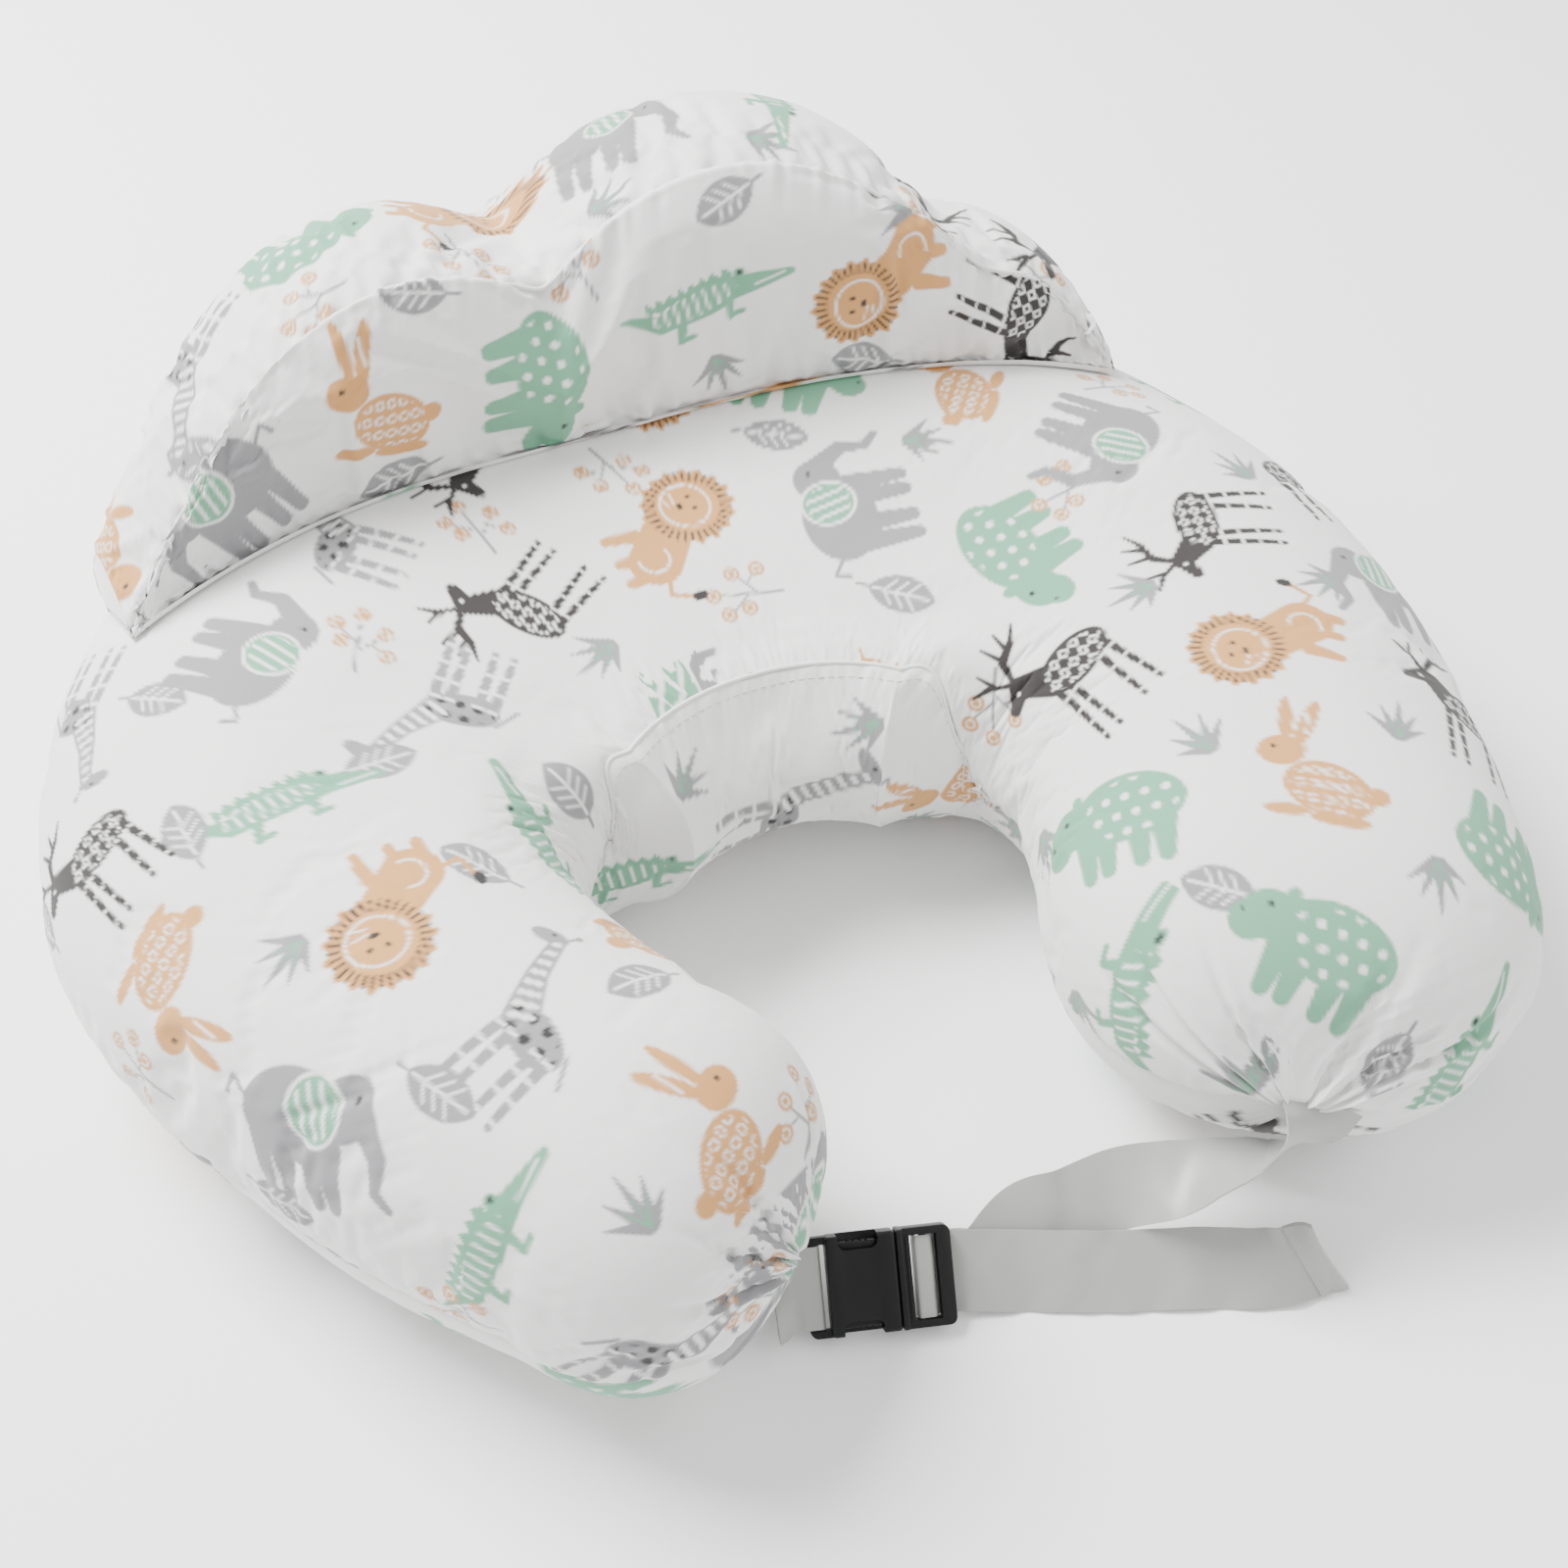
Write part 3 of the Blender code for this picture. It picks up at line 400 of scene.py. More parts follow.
def printed(grid, seed, lines=None, first=0):
    # colours for a grid of cloth: rows of large motifs with small ones between them
    rng = random.Random(seed)
    normals = gridNormals(grid)
    points = grid.reshape(-1, 3)
    flat = normals.reshape(-1, 3)
    colours = np.tile(np.array(inks["cloth"]), (len(points), 1))
    across = along(grid, 1)
    middle = across[:, -1:] / 2
    reach = float(middle.max())
    step = printing["step"]
    count = int(reach / step + 0.5)
    deck = []
    for k in range(-count * 2, count * 2 + 1):
        offset = k * step / 2
        small = k % 2 != 0
        column = np.argmin(np.abs(across - middle - offset), axis=1)
        inside = np.abs(offset) < middle[:, 0] + 0.01
        row = np.arange(len(grid))
        track = grid[row, column]
        gone = np.concatenate([[0], np.cumsum(np.linalg.norm(np.diff(track, axis=0), axis=1) * inside[1:])])
        start = step * (0.55 if (k // 2) % 2 else 0.05) + (step * 0.5 if small else 0) + first
        for s in np.arange(start, gone[-1] - 0.01, step):
            i = int(np.searchsorted(gone, s + rng.uniform(-0.006, 0.006)))
            i = min(max(i, 1), len(grid) - 2)
            if not inside[i]:
                continue
            if not deck:
                deck = list(bigMotifs)
                rng.shuffle(deck)
            out = normals[i, column[i]]
            way = track[min(i + 3, len(grid) - 1)] - track[max(i - 3, 0)]
            way = unit(way - out * (way @ out))
            motif = rng.choice(smallMotifs) if small else deck.pop()
            size = printing["small"] if small else printing["big"]
            turn = rng.choice((0, 1, 1, 2, 3, 3)) * math.pi / 2 + rng.uniform(-0.35, 0.35)
            stamp(points, flat, colours, track[i], out, way, motif, size, turn, rng.choice((-1, 1)))
    return colours.reshape(grid.shape)


# materials
def newMaterial(name):
    made = bpy.data.materials.new(name)
    made.use_nodes = True
    return made, made.node_tree.nodes, made.node_tree.links, made.node_tree.nodes["Principled BSDF"]


def weaveGroup():
    # height of woven cloth: fine threads and soft crumpling
    made = bpy.data.node_groups.new("weave", "ShaderNodeTree")
    for label, value in (("Threads", 900.0), ("Crumple", 26.0), ("Crumple amount", 0.5)):
        socket = made.interface.new_socket(name=label, in_out="INPUT", socket_type="NodeSocketFloat")
        socket.default_value = value
    made.interface.new_socket(name="Vector", in_out="INPUT", socket_type="NodeSocketVector")
    made.interface.new_socket(name="Height", in_out="OUTPUT", socket_type="NodeSocketFloat")
    made.interface.new_socket(name="Shade", in_out="OUTPUT", socket_type="NodeSocketFloat")
    nodes, links = made.nodes, made.links
    source, sink = nodes.new("NodeGroupInput"), nodes.new("NodeGroupOutput")
    threads = nodes.new("ShaderNodeTexNoise")
    threads.inputs["Detail"].default_value = 1.0
    crumple = nodes.new("ShaderNodeTexNoise")
    crumple.inputs["Detail"].default_value = 3.0
    crumple.inputs["Distortion"].default_value = 0.6
    scaled = nodes.new("ShaderNodeMath")
    scaled.operation = "MULTIPLY"
    total = nodes.new("ShaderNodeMath")
    total.operation = "MULTIPLY_ADD"
    total.inputs[1].default_value = 0.06
    shade = nodes.new("ShaderNodeMapRange")
    shade.inputs["To Min"].default_value = 0.97
    shade.inputs["To Max"].default_value = 1.0
    links.new(source.outputs["Vector"], threads.inputs["Vector"])
    links.new(source.outputs["Vector"], crumple.inputs["Vector"])
    links.new(source.outputs["Threads"], threads.inputs["Scale"])
    links.new(source.outputs["Crumple"], crumple.inputs["Scale"])
    links.new(crumple.outputs["Fac"], scaled.inputs[0])
    links.new(source.outputs["Crumple amount"], scaled.inputs[1])
    links.new(threads.outputs["Fac"], total.inputs[0])
    links.new(scaled.outputs[0], total.inputs[2])
    links.new(total.outputs[0], sink.inputs["Height"])
    links.new(threads.outputs["Fac"], shade.inputs["Value"])
    links.new(shade.outputs[0], sink.inputs["Shade"])
    return made


weave = weaveGroup()


def clothMaterial(name, colour=None, threads=900.0, crumple=26.0, amount=0.5, rough=0.85, sheen=0.15,
                  bump=0.25):
    # woven cloth; without a colour it shows the mesh's own print
    made, nodes, links, shader = newMaterial(name)
    place = nodes.new("ShaderNodeTexCoord")
    group = nodes.new("ShaderNodeGroup")
    group.node_tree = weave
    group.inputs["Threads"].default_value = threads
    group.inputs["Crumple"].default_value = crumple
    group.inputs["Crumple amount"].default_value = amount
    links.new(place.outputs["Object"], group.inputs["Vector"])
    tint = nodes.new("ShaderNodeMix")
    tint.data_type = "RGBA"
    tint.blend_type = "MULTIPLY"
    tint.inputs["Factor"].default_value = 1.0
    if colour is None:
        ink = nodes.new("ShaderNodeAttribute")
        ink.attribute_name = "print"
        links.new(ink.outputs["Color"], tint.inputs["A"])
    else:
        tint.inputs["A"].default_value = (*colour, 1.0)
    links.new(group.outputs["Shade"], tint.inputs["B"])
    links.new(tint.outputs["Result"], shader.inputs["Base Color"])
    relief = nodes.new("ShaderNodeBump")
    relief.inputs["Strength"].default_value = bump
    relief.inputs["Distance"].default_value = 0.004
    links.new(group.outputs["Height"], relief.inputs["Height"])
    links.new(relief.outputs["Normal"], shader.inputs["Normal"])
    shader.inputs["Roughness"].default_value = rough
    shader.inputs["Sheen Weight"].default_value = sheen
    return made


def hardMaterial(name, colour, rough, metallic=0.0, grain=700.0, bump=0.05, specular=0.5):
    made, nodes, links, shader = newMaterial(name)
    place = nodes.new("ShaderNodeTexCoord")
    noise = nodes.new("ShaderNodeTexNoise")
    noise.inputs["Scale"].default_value = grain
    relief = nodes.new("ShaderNodeBump")
    relief.inputs["Strength"].default_value = bump
    relief.inputs["Distance"].default_value = 0.0004
    spread = nodes.new("ShaderNodeMapRange")
    spread.inputs["To Min"].default_value = rough - 0.06
    spread.inputs["To Max"].default_value = rough + 0.06
    links.new(place.outputs["Object"], noise.inputs["Vector"])
    links.new(noise.outputs["Fac"], relief.inputs["Height"])
    links.new(noise.outputs["Fac"], spread.inputs["Value"])
    links.new(spread.outputs[0], shader.inputs["Roughness"])
    links.new(relief.outputs["Normal"], shader.inputs["Normal"])
    shader.inputs["Base Color"].default_value = (*colour, 1.0)
    shader.inputs["Metallic"].default_value = metallic
    shader.inputs["Specular IOR Level"].default_value = specular
    return made


cotton = clothMaterial("cottonPrint")
ribbonCloth = clothMaterial("satinRibbon", (0.335, 0.345, 0.32), 1500.0, 60.0, 0.15, 0.36, 0.30, 0.10)
threadCloth = clothMaterial("thread", (0.40, 0.40, 0.38), 2400.0, 60.0, 0.1, 0.6)
paleThread = clothMaterial("paleThread", (0.62, 0.62, 0.60), 2400.0, 60.0, 0.1, 0.6)
tapeCloth = clothMaterial("zipTape", (0.82, 0.82, 0.80), 1400.0, 40.0, 0.1)
blackPlastic = hardMaterial("blackPlastic", (0.004, 0.004, 0.0045), 0.46, specular=0.28)
coilPlastic = hardMaterial("coilPlastic", (0.80, 0.80, 0.78), 0.4)
zipMetal = hardMaterial("zipMetal", (0.70, 0.70, 0.68), 0.32, 1.0)


# cushion
def knots(values, places, t):
    return float(np.interp(t, places, values))


def centreLine(side, steps=240):
    arm = cushion[side]
    quarters = np.linspace(0, 1, len(arm["bend"]))
    ds = arm["reach"] / steps
    x, y, heading = 0.0, cushion["backY"], 0.0
    found = [(x, y, heading)]
    for i in range(steps):
        turn = knots(arm["bend"], quarters, (i + 0.5) / steps) * ds
        x += math.cos(heading + turn / 2) * ds
        y -= math.sin(heading + turn / 2) * ds
        heading += turn
        found.append((x, y, heading))
    return np.array(found)


centreLines = {side: centreLine(side) for side in ("left", "right")}


def power(values, exponent):
    return np.sign(values) * np.abs(values) ** exponent


def sectionPoints(side, s, sigma, degrees, inset=0.0):
    # points round one section of the U. sigma runs from 0 to 1 over the rounded arm tip
    arm = cushion[side]
    tip = arm["width"][-1]
    if sigma > 0:
        s = arm["reach"] - tip + (tip - inset) * sigma
    place = np.clip(s / arm["reach"], 0, 1) * 240
    x, y, heading = [np.interp(place, np.arange(241), centreLines[side][:, k]) for k in range(3)]
    shrink = (1 - sigma ** cushion["tipPower"]) ** (1 / cushion["tipPower"])
    wide = (knots(arm["width"], cushion["widthAt"], s / arm["reach"]) - inset) * shrink
    half = cushion["height"] / 2
    angle = np.radians(degrees)
    v = wide * power(np.cos(angle), 2 / cushion["power"])
    z = half + (half - inset) * shrink * power(np.sin(angle), 2 / cushion["power"]) - cushion["sink"]
    px, py = x + math.sin(heading) * v, y + math.cos(heading) * v
    sign = 1 if side == "right" else -1
    return np.stack([sign * px, py, np.maximum(z, inset) + 0.0002], -1) + shift


def stations(bodySteps, tipSteps, reach=1.0):
    made = []
    for side in ("left", "right"):
        arm = cushion[side]
        straight = arm["reach"] - arm["width"][-1]
        length = straight if reach == 1.0 else arm["reach"] * reach
        half = [(side, length * i / bodySteps, 0.0) for i in range(bodySteps + 1)]
        if reach == 1.0:
            half += [(side, straight, min(math.sin(math.pi / 2 * i / tipSteps), 0.999999))
                     for i in range(1, tipSteps + 1)]
        made = half[::-1] if side == "left" else made[:-1] + half
    return made


def gussetSeam(side, s, peak):
    t = s / (cushion[side]["reach"] * cushion["gussetReach"])
    fall = min(max((t - 0.55) / 0.45, 0.0), 1.0)
    share = 1 - fall * fall * (3 - 2 * fall)
    return cushion["innerSeam"] - (cushion["innerSeam"] - peak) * share


def panelGrid(sections, start, end, columns, inset=0.0):
    rows = []
    for side, s, sigma in sections:
        low = start(side, s) if callable(start) else start
        high = end(side, s) if callable(end) else end
        rows.append(sectionPoints(side, s, sigma, np.linspace(low, high, columns + 1), inset))
    return np.array(rows)


def edgeDistances(grid):
    across = along(grid, 1)
    return across, across[:, -1:] - across


def puckered(grid, seed, seamDepth=0.0012, pucker=0.0008, period=0.013, fade=0.012, lump=0.0018, ends=()):
    # sinks the cloth into its side seams, gathers it there, and gives it soft dents
    normals = gridNormals(grid)
    first, last = edgeDistances(grid)
    move = lump * lumps(grid, 0.16, seed) * smooth(0, 0.03, np.minimum(first, last))
    for number, away in enumerate((first, last)):
        column = 0 if number == 0 else -1
        s = along(grid, 0)[:, column][:, None]
        fold = ripple(s + 0.25 * away, period, seed + 5 + number)
        patchy = 0.55 + 0.45 * ripple(s, 0.11, seed + 11 + number)
        move -= seamDepth * np.exp(-away / 0.0028)
        move += pucker * fold * patchy * np.exp(-(away / fade) ** 2) * smooth(0, 0.002, away)
    for rowsIn in ends:
        move += rowsIn
    return grid + normals * move[..., None]


def tucked(grid, depth=0.004):
    # adds the seam allowance along both sides of a panel, turned in under its neighbour
    normals = gridNormals(grid)
    sides = []
    for edge, inner in ((0, 2), (-1, -3)):
        ahead = unit(grid[:, edge] - grid[:, inner])
        sides.append([grid[:, edge] + ahead * depth * a - normals[:, edge] * depth * b
                      for a, b in ((0.35, 0.30), (0.45, 1.0))])
    first = np.stack(sides[0][::-1], 1)
    last = np.stack(sides[1], 1)
    return np.concatenate([first, grid, last], 1)


def tipPleats(sections, columns, count, seed):
    # folds that run from the nose of each arm tip and die out along it
    sigma = np.array([x[2] for x in sections])[:, None]
    turn = np.linspace(0, 1, columns)[None, :]
    rng = random.Random(seed)
    folds = np.zeros((len(sections), columns))
    for _ in range(count):
        at, wide, deep = rng.uniform(0.08, 0.92), rng.uniform(0.008, 0.016), rng.uniform(0.5, 1.0)
        start = rng.uniform(0.45, 0.72)
        bend = rng.uniform(-0.05, 0.05)
        side = rng.choice((-1, 1))
        half = np.array([(-1 if x[0] == "left" else 1) == side for x in sections])[:, None]
        centre = at + bend * (1 - sigma)
        folds -= deep * np.exp(-((turn - centre) / wide) ** 2) * smooth(start, 0.97, sigma) * half
        folds += 0.5 * deep * np.exp(-((turn - centre - wide * 2.2) / (wide * 1.6)) ** 2) * smooth(
            start, 0.97, sigma) * half
    return 0.0040 * folds


def spread(values, count):
    # repeats stations to match rows added by denser()
    found = []
    for a, b in zip(values, values[1:]):
        for j in range(count):
            t = j / count
            side = a[0] if t < 0.5 else b[0]
            found.append((side, a[1] + (b[1] - a[1]) * t, a[2] + (b[2] - a[2]) * t))
    return found + [values[-1]]


def finishPiece(obj, body, slotName, *cadNodes, material=None):
    obj.data.materials.clear()
    obj.data.materials.append(material or cotton)
    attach(obj, body)
    if cadNodes:
        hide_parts(*cadNodes)
    return obj


crown = {}


def heightMap(grid):
    # highest point of the grid over each 4 mm square of the floor
    found = {}
    for x, y, z in grid.reshape(-1, 3):
        key = int(x // 0.004), int(y // 0.004)
        found[key] = max(found.get(key, 0.0), z)
    return found


def crownHeight(x, y):
    # height of the finished cushion near a point given in the pillow's own frame
    i, j = (x + shift[0]) / 0.004 - 0.5, (y + shift[1]) / 0.004 - 0.5
    total = weight = 0.0
    for a in range(math.floor(i) - 1, math.floor(i) + 3):
        for b in range(math.floor(j) - 1, math.floor(j) + 3):
            near = math.exp(-((a - i) ** 2 + (b - j) ** 2))
            if (a, b) in crown:
                total += near * crown[a, b]
                weight += near
    return total / weight if weight > 0.4 else 0.0


def seamRoll(name, edge, normals, body, radius=0.0010):
    # the rolled edge of a seam: a thin tube of the cover's own cloth
    ahead = unit(np.gradient(edge, axis=0))
    side = unit(np.cross(ahead, normals))
    out = np.cross(side, ahead)
    turns = np.linspace(0, 2 * math.pi, 9)[None, :, None]
    grid = edge[:, None] + radius * (side[:, None] * np.cos(turns) + out[:, None] * np.sin(turns))
    piece = gridMesh(name, grid, np.tile(np.array(inks["cloth"]), (*grid.shape[:2], 1)))
    return finishPiece(piece, body, "print_cotton")


def buildCushion():
    heart = sectionPoints("left", 0.0, 0.0, np.array([90.0]))[0] - np.array((0, 0, 0.08))
    more = 4 if fine else 2

    def seam(peak, extra):
        return lambda side, s: gussetSeam(side, s, peak) + extra

    sections = stations(cushion["bodySteps"], cushion["tipSteps"])
    coarse = panelGrid(sections, cushion["outerSeam"], seam(cushion["gussetTop"], 0), cushion["topColumns"])
    coarse = outward(coarse, heart)
    coarse = inflate(coarse, cushion["loose"], cushion["pressure"])
    top = denser(denser(coarse, 0, more), 1, more)
    pleats = tipPleats(spread(sections, more), top.shape[1], 16, 3)
    top = puckered(top, 21, ends=(pleats,))
    top = tucked(top)
    top[..., 2] = np.maximum(top[..., 2], 0.001)
    crown.update(heightMap(top))
    colours = printed(top, 4)
    rows = len(top)
    for name, low, high in (("cushionTopLeft", 0, rows // 3), ("cushionTopMiddle", rows // 3, 2 * rows // 3),
                            ("cushionTopRight", 2 * rows // 3, rows - 1)):
        piece = gridMesh(name, top[low:high + 1], colours[low:high + 1])
        nodes = ("cushion_cover_top", "cushion_inner_bag_upper", "cushion_filling")
        finishPiece(piece, "cushion", "print_cotton", *(nodes if name == "cushionTopMiddle" else ()))
    print("cushion top", top.shape)

    lowSections = stations(80 if fine else 50, 18 if fine else 12)
    under = panelGrid(lowSections, seam(cushion["gussetFoot"], -360), cushion["outerSeam"],
                      cushion["bottomColumns"])
    under = outward(under, heart)
    under = denser(denser(under, 0, 2), 1, 3)
    pleats = tipPleats(spread(lowSections, 2), under.shape[1], 12, 8) * 0.7
    under = puckered(under, 33, lump=0.0010, ends=(pleats,))
    under = tucked(under)
    under[..., 2] = np.maximum(under[..., 2], 0.0)
    piece = gridMesh("cushionBottom", under, printed(under, 9))
    finishPiece(piece, "cushion", "print_cotton", "cushion_cover_bottom", "cushion_inner_bag_lower")
    print("cushion bottom", under.shape)

    bend = stations(70 if fine else 40, 0, reach=cushion["gussetReach"] * 0.998)
    wall = panelGrid(bend, seam(cushion["gussetTop"], 0), seam(cushion["gussetFoot"], 0),
                     cushion["gussetColumns"])
    wall = outward(wall, heart)
    wall = inflate(wall, 0.02, 2.0)
    wall = denser(denser(wall, 0, 3), 1, 3)
    wall = puckered(wall, 45, 0.0007, 0.0008, 0.016, 0.016, 0.0012)
    normals = gridNormals(wall)
    middle = len(wall) // 2
    if wall[middle, 0, 2] > wall[middle, -1, 2]:
        column = int(np.argmin(along(wall, 1)[middle] < 0.0045))
    else:
        column = -int(np.argmin(along(wall[:, ::-1], 1)[middle] < 0.0045)) - 1
    stitchRow("gussetStitch", wall[:, column], normals[:, column], "cushion", paleThread, 0.0030, 0.0046)
    normals = gridNormals(wall)
    seamRoll("gussetSeamFirst", wall[:, 0], normals[:, 0], "cushion")
    seamRoll("gussetSeamLast", wall[:, -1], normals[:, -1], "cushion")
    wall = tucked(wall)
    wall[..., 2] = np.maximum(wall[..., 2], 0.0005)
    piece = gridMesh("cushionGusset", wall, printed(wall, 13, first=0.03))
    finishPiece(piece, "cushion", "print_cotton", "cushion_inner_gusset")
    print("cushion gusset", wall.shape)


# head guard
def cushionTop(x, y):
    side = "right" if x >= 0 else "left"
    track = centreLines[side]
    gap = np.hypot(abs(x) - track[:, 0], y - track[:, 1])
    step = int(np.argmin(gap))
    off = gap[step] / knots(cushion[side]["width"], cushion["widthAt"], step / 240)
    if off >= 0.985:
        return guard["hemZ"]
    return max(guard["hemZ"], crownHeight(x, y) + guard["clearance"])


def cloudTop(x):
    tops = [top - (x - centre) ** 2 / (2 * radius) for centre, top, radius in guard["lobes"]]
    peak = max(tops)
    return peak + math.log(sum(math.exp(260.0 * (t - peak)) for t in tops)) / 260.0


def guardSection(t, counts):
    # the four runs of one section of the guard, from the foot of its front round to its base
    x = -guard["halfWidth"] + 2 * guard["halfWidth"] * t
    foot = np.array((x, guard["frontY"] - guard["frontCurve"] * x * x, 0.0))
    sag = guard["backCurve"] * max(abs(x) - guard["backFlat"], 0.0) ** 2
    heel = np.array((x * 1.02, guard["backY"] - sag, 0.0))
    depth = float(np.linalg.norm(heel - foot))
    out = (heel - foot) / depth

    def place(d, z):
        return np.array((foot[0] + out[0] * d, foot[1] + out[1] * d, z + 0.0002)) + shift

    def baseHeight(d):
        p = foot + out * d
        return cushionTop(p[0], p[1])

    crest = cloudTop(x)
    zFoot, zHeel = baseHeight(0), baseHeight(depth)
    lean = math.tan(math.radians(guard["lean"]))
    topD = (crest - zFoot) * lean
    rearD = depth - 0.018
    rearZ = crest - guard["backDrop"] * (1 - 0.6 * abs(2 * t - 1) ** 3)
    ends = min(1.0, 3.2 * min(t, 1 - t) + 0.25)
    runs = {}
    for key, count in counts.items():
        points = []
        for r in np.linspace(0, 1, count + 1):
            if key == "front":
                bulge = 0.015 * ends * math.sin(math.pi * r) ** 0.8
                rise = (crest - zFoot) * r
                points.append(place(rise * lean - bulge + 0.002, zFoot + rise))
            elif key == "band":
                swell = 0.017 * math.sin(math.pi * r) ** 0.8
                points.append(place(topD + (rearD - topD) * r + swell * 0.35,
                                    crest + (rearZ - crest) * r + swell))
            elif key == "back":
                bulge = 0.006 * math.sin(math.pi * r)
                points.append(place(rearD + (depth - rearD) * r + bulge, rearZ + (zHeel - rearZ) * r))
            else:
                d = depth * (1 - r) ** 0.8
                points.append(place(d, baseHeight(d)))
        runs[key] = points
    return runs


def buildGuard():
    heart = np.array((0.0, 0.5 * (guard["frontY"] + guard["backY"]), 0.20)) + shift
    counts = {"front": 34, "band": 24, "back": 16, "base": 12}
    spots = [0.5 - 0.5 * math.cos(math.pi * (0.07 + 0.86 * i / guard["columns"]))
             for i in range(guard["columns"] + 1)]
    spots = [(t - spots[0]) / (spots[-1] - spots[0]) for t in spots]
    sections = [guardSection(t, counts) for t in spots]
    settings = {
        "front": {"name": "guardFront",
                  "nodes": ("guard_cover_front", "guard_inner_bag_front", "guard_filling"),
                  "more": 4, "sim": True, "pucker": 0.0016, "period": 0.012, "fade": 0.016, "seed": 51},
        "band": {"name": "guardBand", "nodes": ("guard_gusset",),
                 "more": 4, "sim": True, "pucker": 0.0022, "period": 0.014, "fade": 0.020, "seed": 57},
        "back": {"name": "guardBack", "nodes": ("guard_cover_back", "guard_inner_bag_back"),
                 "more": 3, "sim": True, "pucker": 0.0012, "period": 0.015, "fade": 0.014, "seed": 61},
        "base": {"name": "guardBase", "nodes": ("guard_cover_base",),
                 "more": 1, "sim": False, "pucker": 0.0, "period": 0.02, "fade": 0.01, "seed": 63},
    }
    for key, chosen in settings.items():
        grid = np.array([runs[key] for runs in sections])
        grid = outward(grid, heart)
        if chosen["sim"]:
            grid = inflate(grid, guard["loose"], guard["pressure"])
        more = chosen["more"] if fine else min(2, chosen["more"])
        grid = denser(denser(grid, 0, more), 1, more)
        if key == "back":
            # the zip's tapes lie flat on the back panel
            x, z = grid[..., 0] - shift[0], grid[..., 2] - shift[2]
            off = np.hypot(np.maximum(np.abs(x) - 0.068, 0),
                           np.maximum(np.abs(z - zipSettings["z"]) - 0.012, 0))
            flat = zipSettings["plane"] + shift[1] - 0.0003
        if chosen["pucker"]:
            grid = puckered(grid, chosen["seed"], 0.0016, chosen["pucker"], chosen["period"],
                            chosen["fade"], 0.0012)
        if key == "back":
            grid[..., 1] = np.minimum(grid[..., 1], flat + 0.8 * off)
            lift = np.maximum(grid[..., 1], flat - 0.0004) - grid[..., 1]
            grid[..., 1] += lift * (1 - smooth(0, 0.012, off))
        if key == "band":
            normals = gridNormals(grid)
            seamRoll("guardSeamFront", grid[:, 0], normals[:, 0], "guard")
            seamRoll("guardSeamBack", grid[:, -1], normals[:, -1], "guard")
        grid = tucked(grid, 0.003)
        piece = gridMesh(chosen["name"], grid, printed(grid, chosen["seed"] + 3))
        finishPiece(piece, "guard", "print_cotton", *chosen["nodes"])
        print(chosen["name"], grid.shape)
    for name, runs, cad in (("guardEndLeft", sections[0], "guard_end_panel_left"),
                            ("guardEndRight", sections[-1], "guard_end_panel_right")):
        ring = np.array([p for key in ("front", "band", "back", "base") for p in runs[key]])
        middle = ring.mean(axis=0) + np.array((-0.004 if runs is sections[0] else 0.004, 0, 0))
        grid = np.array([ring + (middle - ring) * k for k in (0.0, 0.12, 0.3, 0.55, 0.8, 0.995)])
        grid = denser(grid, 0, 3)
        grid = outward(grid, heart)
        piece = gridMesh(name, grid, printed(grid, 71))
        finishPiece(piece, "guard", "print_cotton", cad)


# ribbons
ribbonSettings = {
    "width": 0.0345, "thickness": 0.0008, "columns": 14, "more": 8,
    "foldRoute": ((0.1432, -0.1858, 0.0800), (0.1375, -0.1895, 0.0720), (0.1285, -0.1905, 0.0640)),
    "foldAcross": ((0.86, -0.46, -0.06), (0.76, -0.26, -0.45), (0.42, 0.30, -0.75)),
    "runRoute": ((0.1190, -0.1875, 0.0570), (0.1058, -0.1815, 0.0490), (0.0863, -0.1742, 0.0395),
                 (0.0651, -0.1650, 0.0312), (0.0430, -0.1625, 0.0255), (0.0240, -0.1590, 0.0215)),
    "runAcross": ((0.31, 0.60, -0.60), (0.27, 0.72, -0.32), (0.24, 0.78, 0.10), (0.17, 0.75, 0.52),
                  (0.15, 0.75, 0.62), (0.20, 0.74, 0.64)),
    "runEnd": ((0.0780, -0.0070), (0.0640, -0.0060), (0.0570, -0.0060), (0.0500, -0.0060)),
    "wrap": ((0.0466, -0.0052), (0.0468, 0.0), (0.0474, 0.0019), (0.0505, 0.0021), (0.0530, 0.0019),
             (0.0542, 0.0), (0.0545, -0.0032), (0.0553, -0.0044), (0.0590, -0.0044), (0.0640, -0.0044)),
    "tailRoute": ((0.0123, -0.1739, 0.0125), (0.0335, -0.1830, 0.0123), (0.0542, -0.1917, 0.0122),
                  (0.0827, -0.2022, 0.0122), (0.1074, -0.2136, 0.0130), (0.1254, -0.2205, 0.0160),
                  (0.1358, -0.2257, 0.0174)),
    "tailAcross": ((0.21, 0.74, 0.64), (0.24, 0.73, 0.64), (0.26, 0.72, 0.64), (0.25, 0.74, 0.62),
                   (0.10, 0.76, 0.64), (-0.15, 0.65, 0.74), (-0.36, 0.45, 0.80)),
    "loop": ((-0.0060, 0.0019), (-0.0012, 0.0019), (0.0045, 0.0019), (0.0057, 0.0015), (0.0064, 0.0),
             (0.0057, -0.0015), (0.0045, -0.0019), (-0.0012, -0.0019), (-0.0060, -0.0019)),
    "tipEnd": (-0.0885, -0.1495, 0.0160), "tipAcross": (0.22, 0.84, 0.30),
}

# the buckle's frame: x from socket to plug, y up its width, z out of its face
buckleFrame = (Matrix.Translation((-0.077179, -0.22357, 0.017899))
               @ Matrix.Rotation(math.radians(-15.9), 4, "Z") @ Matrix.Rotation(math.radians(40.0), 4, "X"))
buckleTurn = np.array(buckleFrame.to_3x3())


def inBuckle(points):
    return np.array([tuple(buckleFrame @ Vector((x, 0.0, z))) for x, z in points])


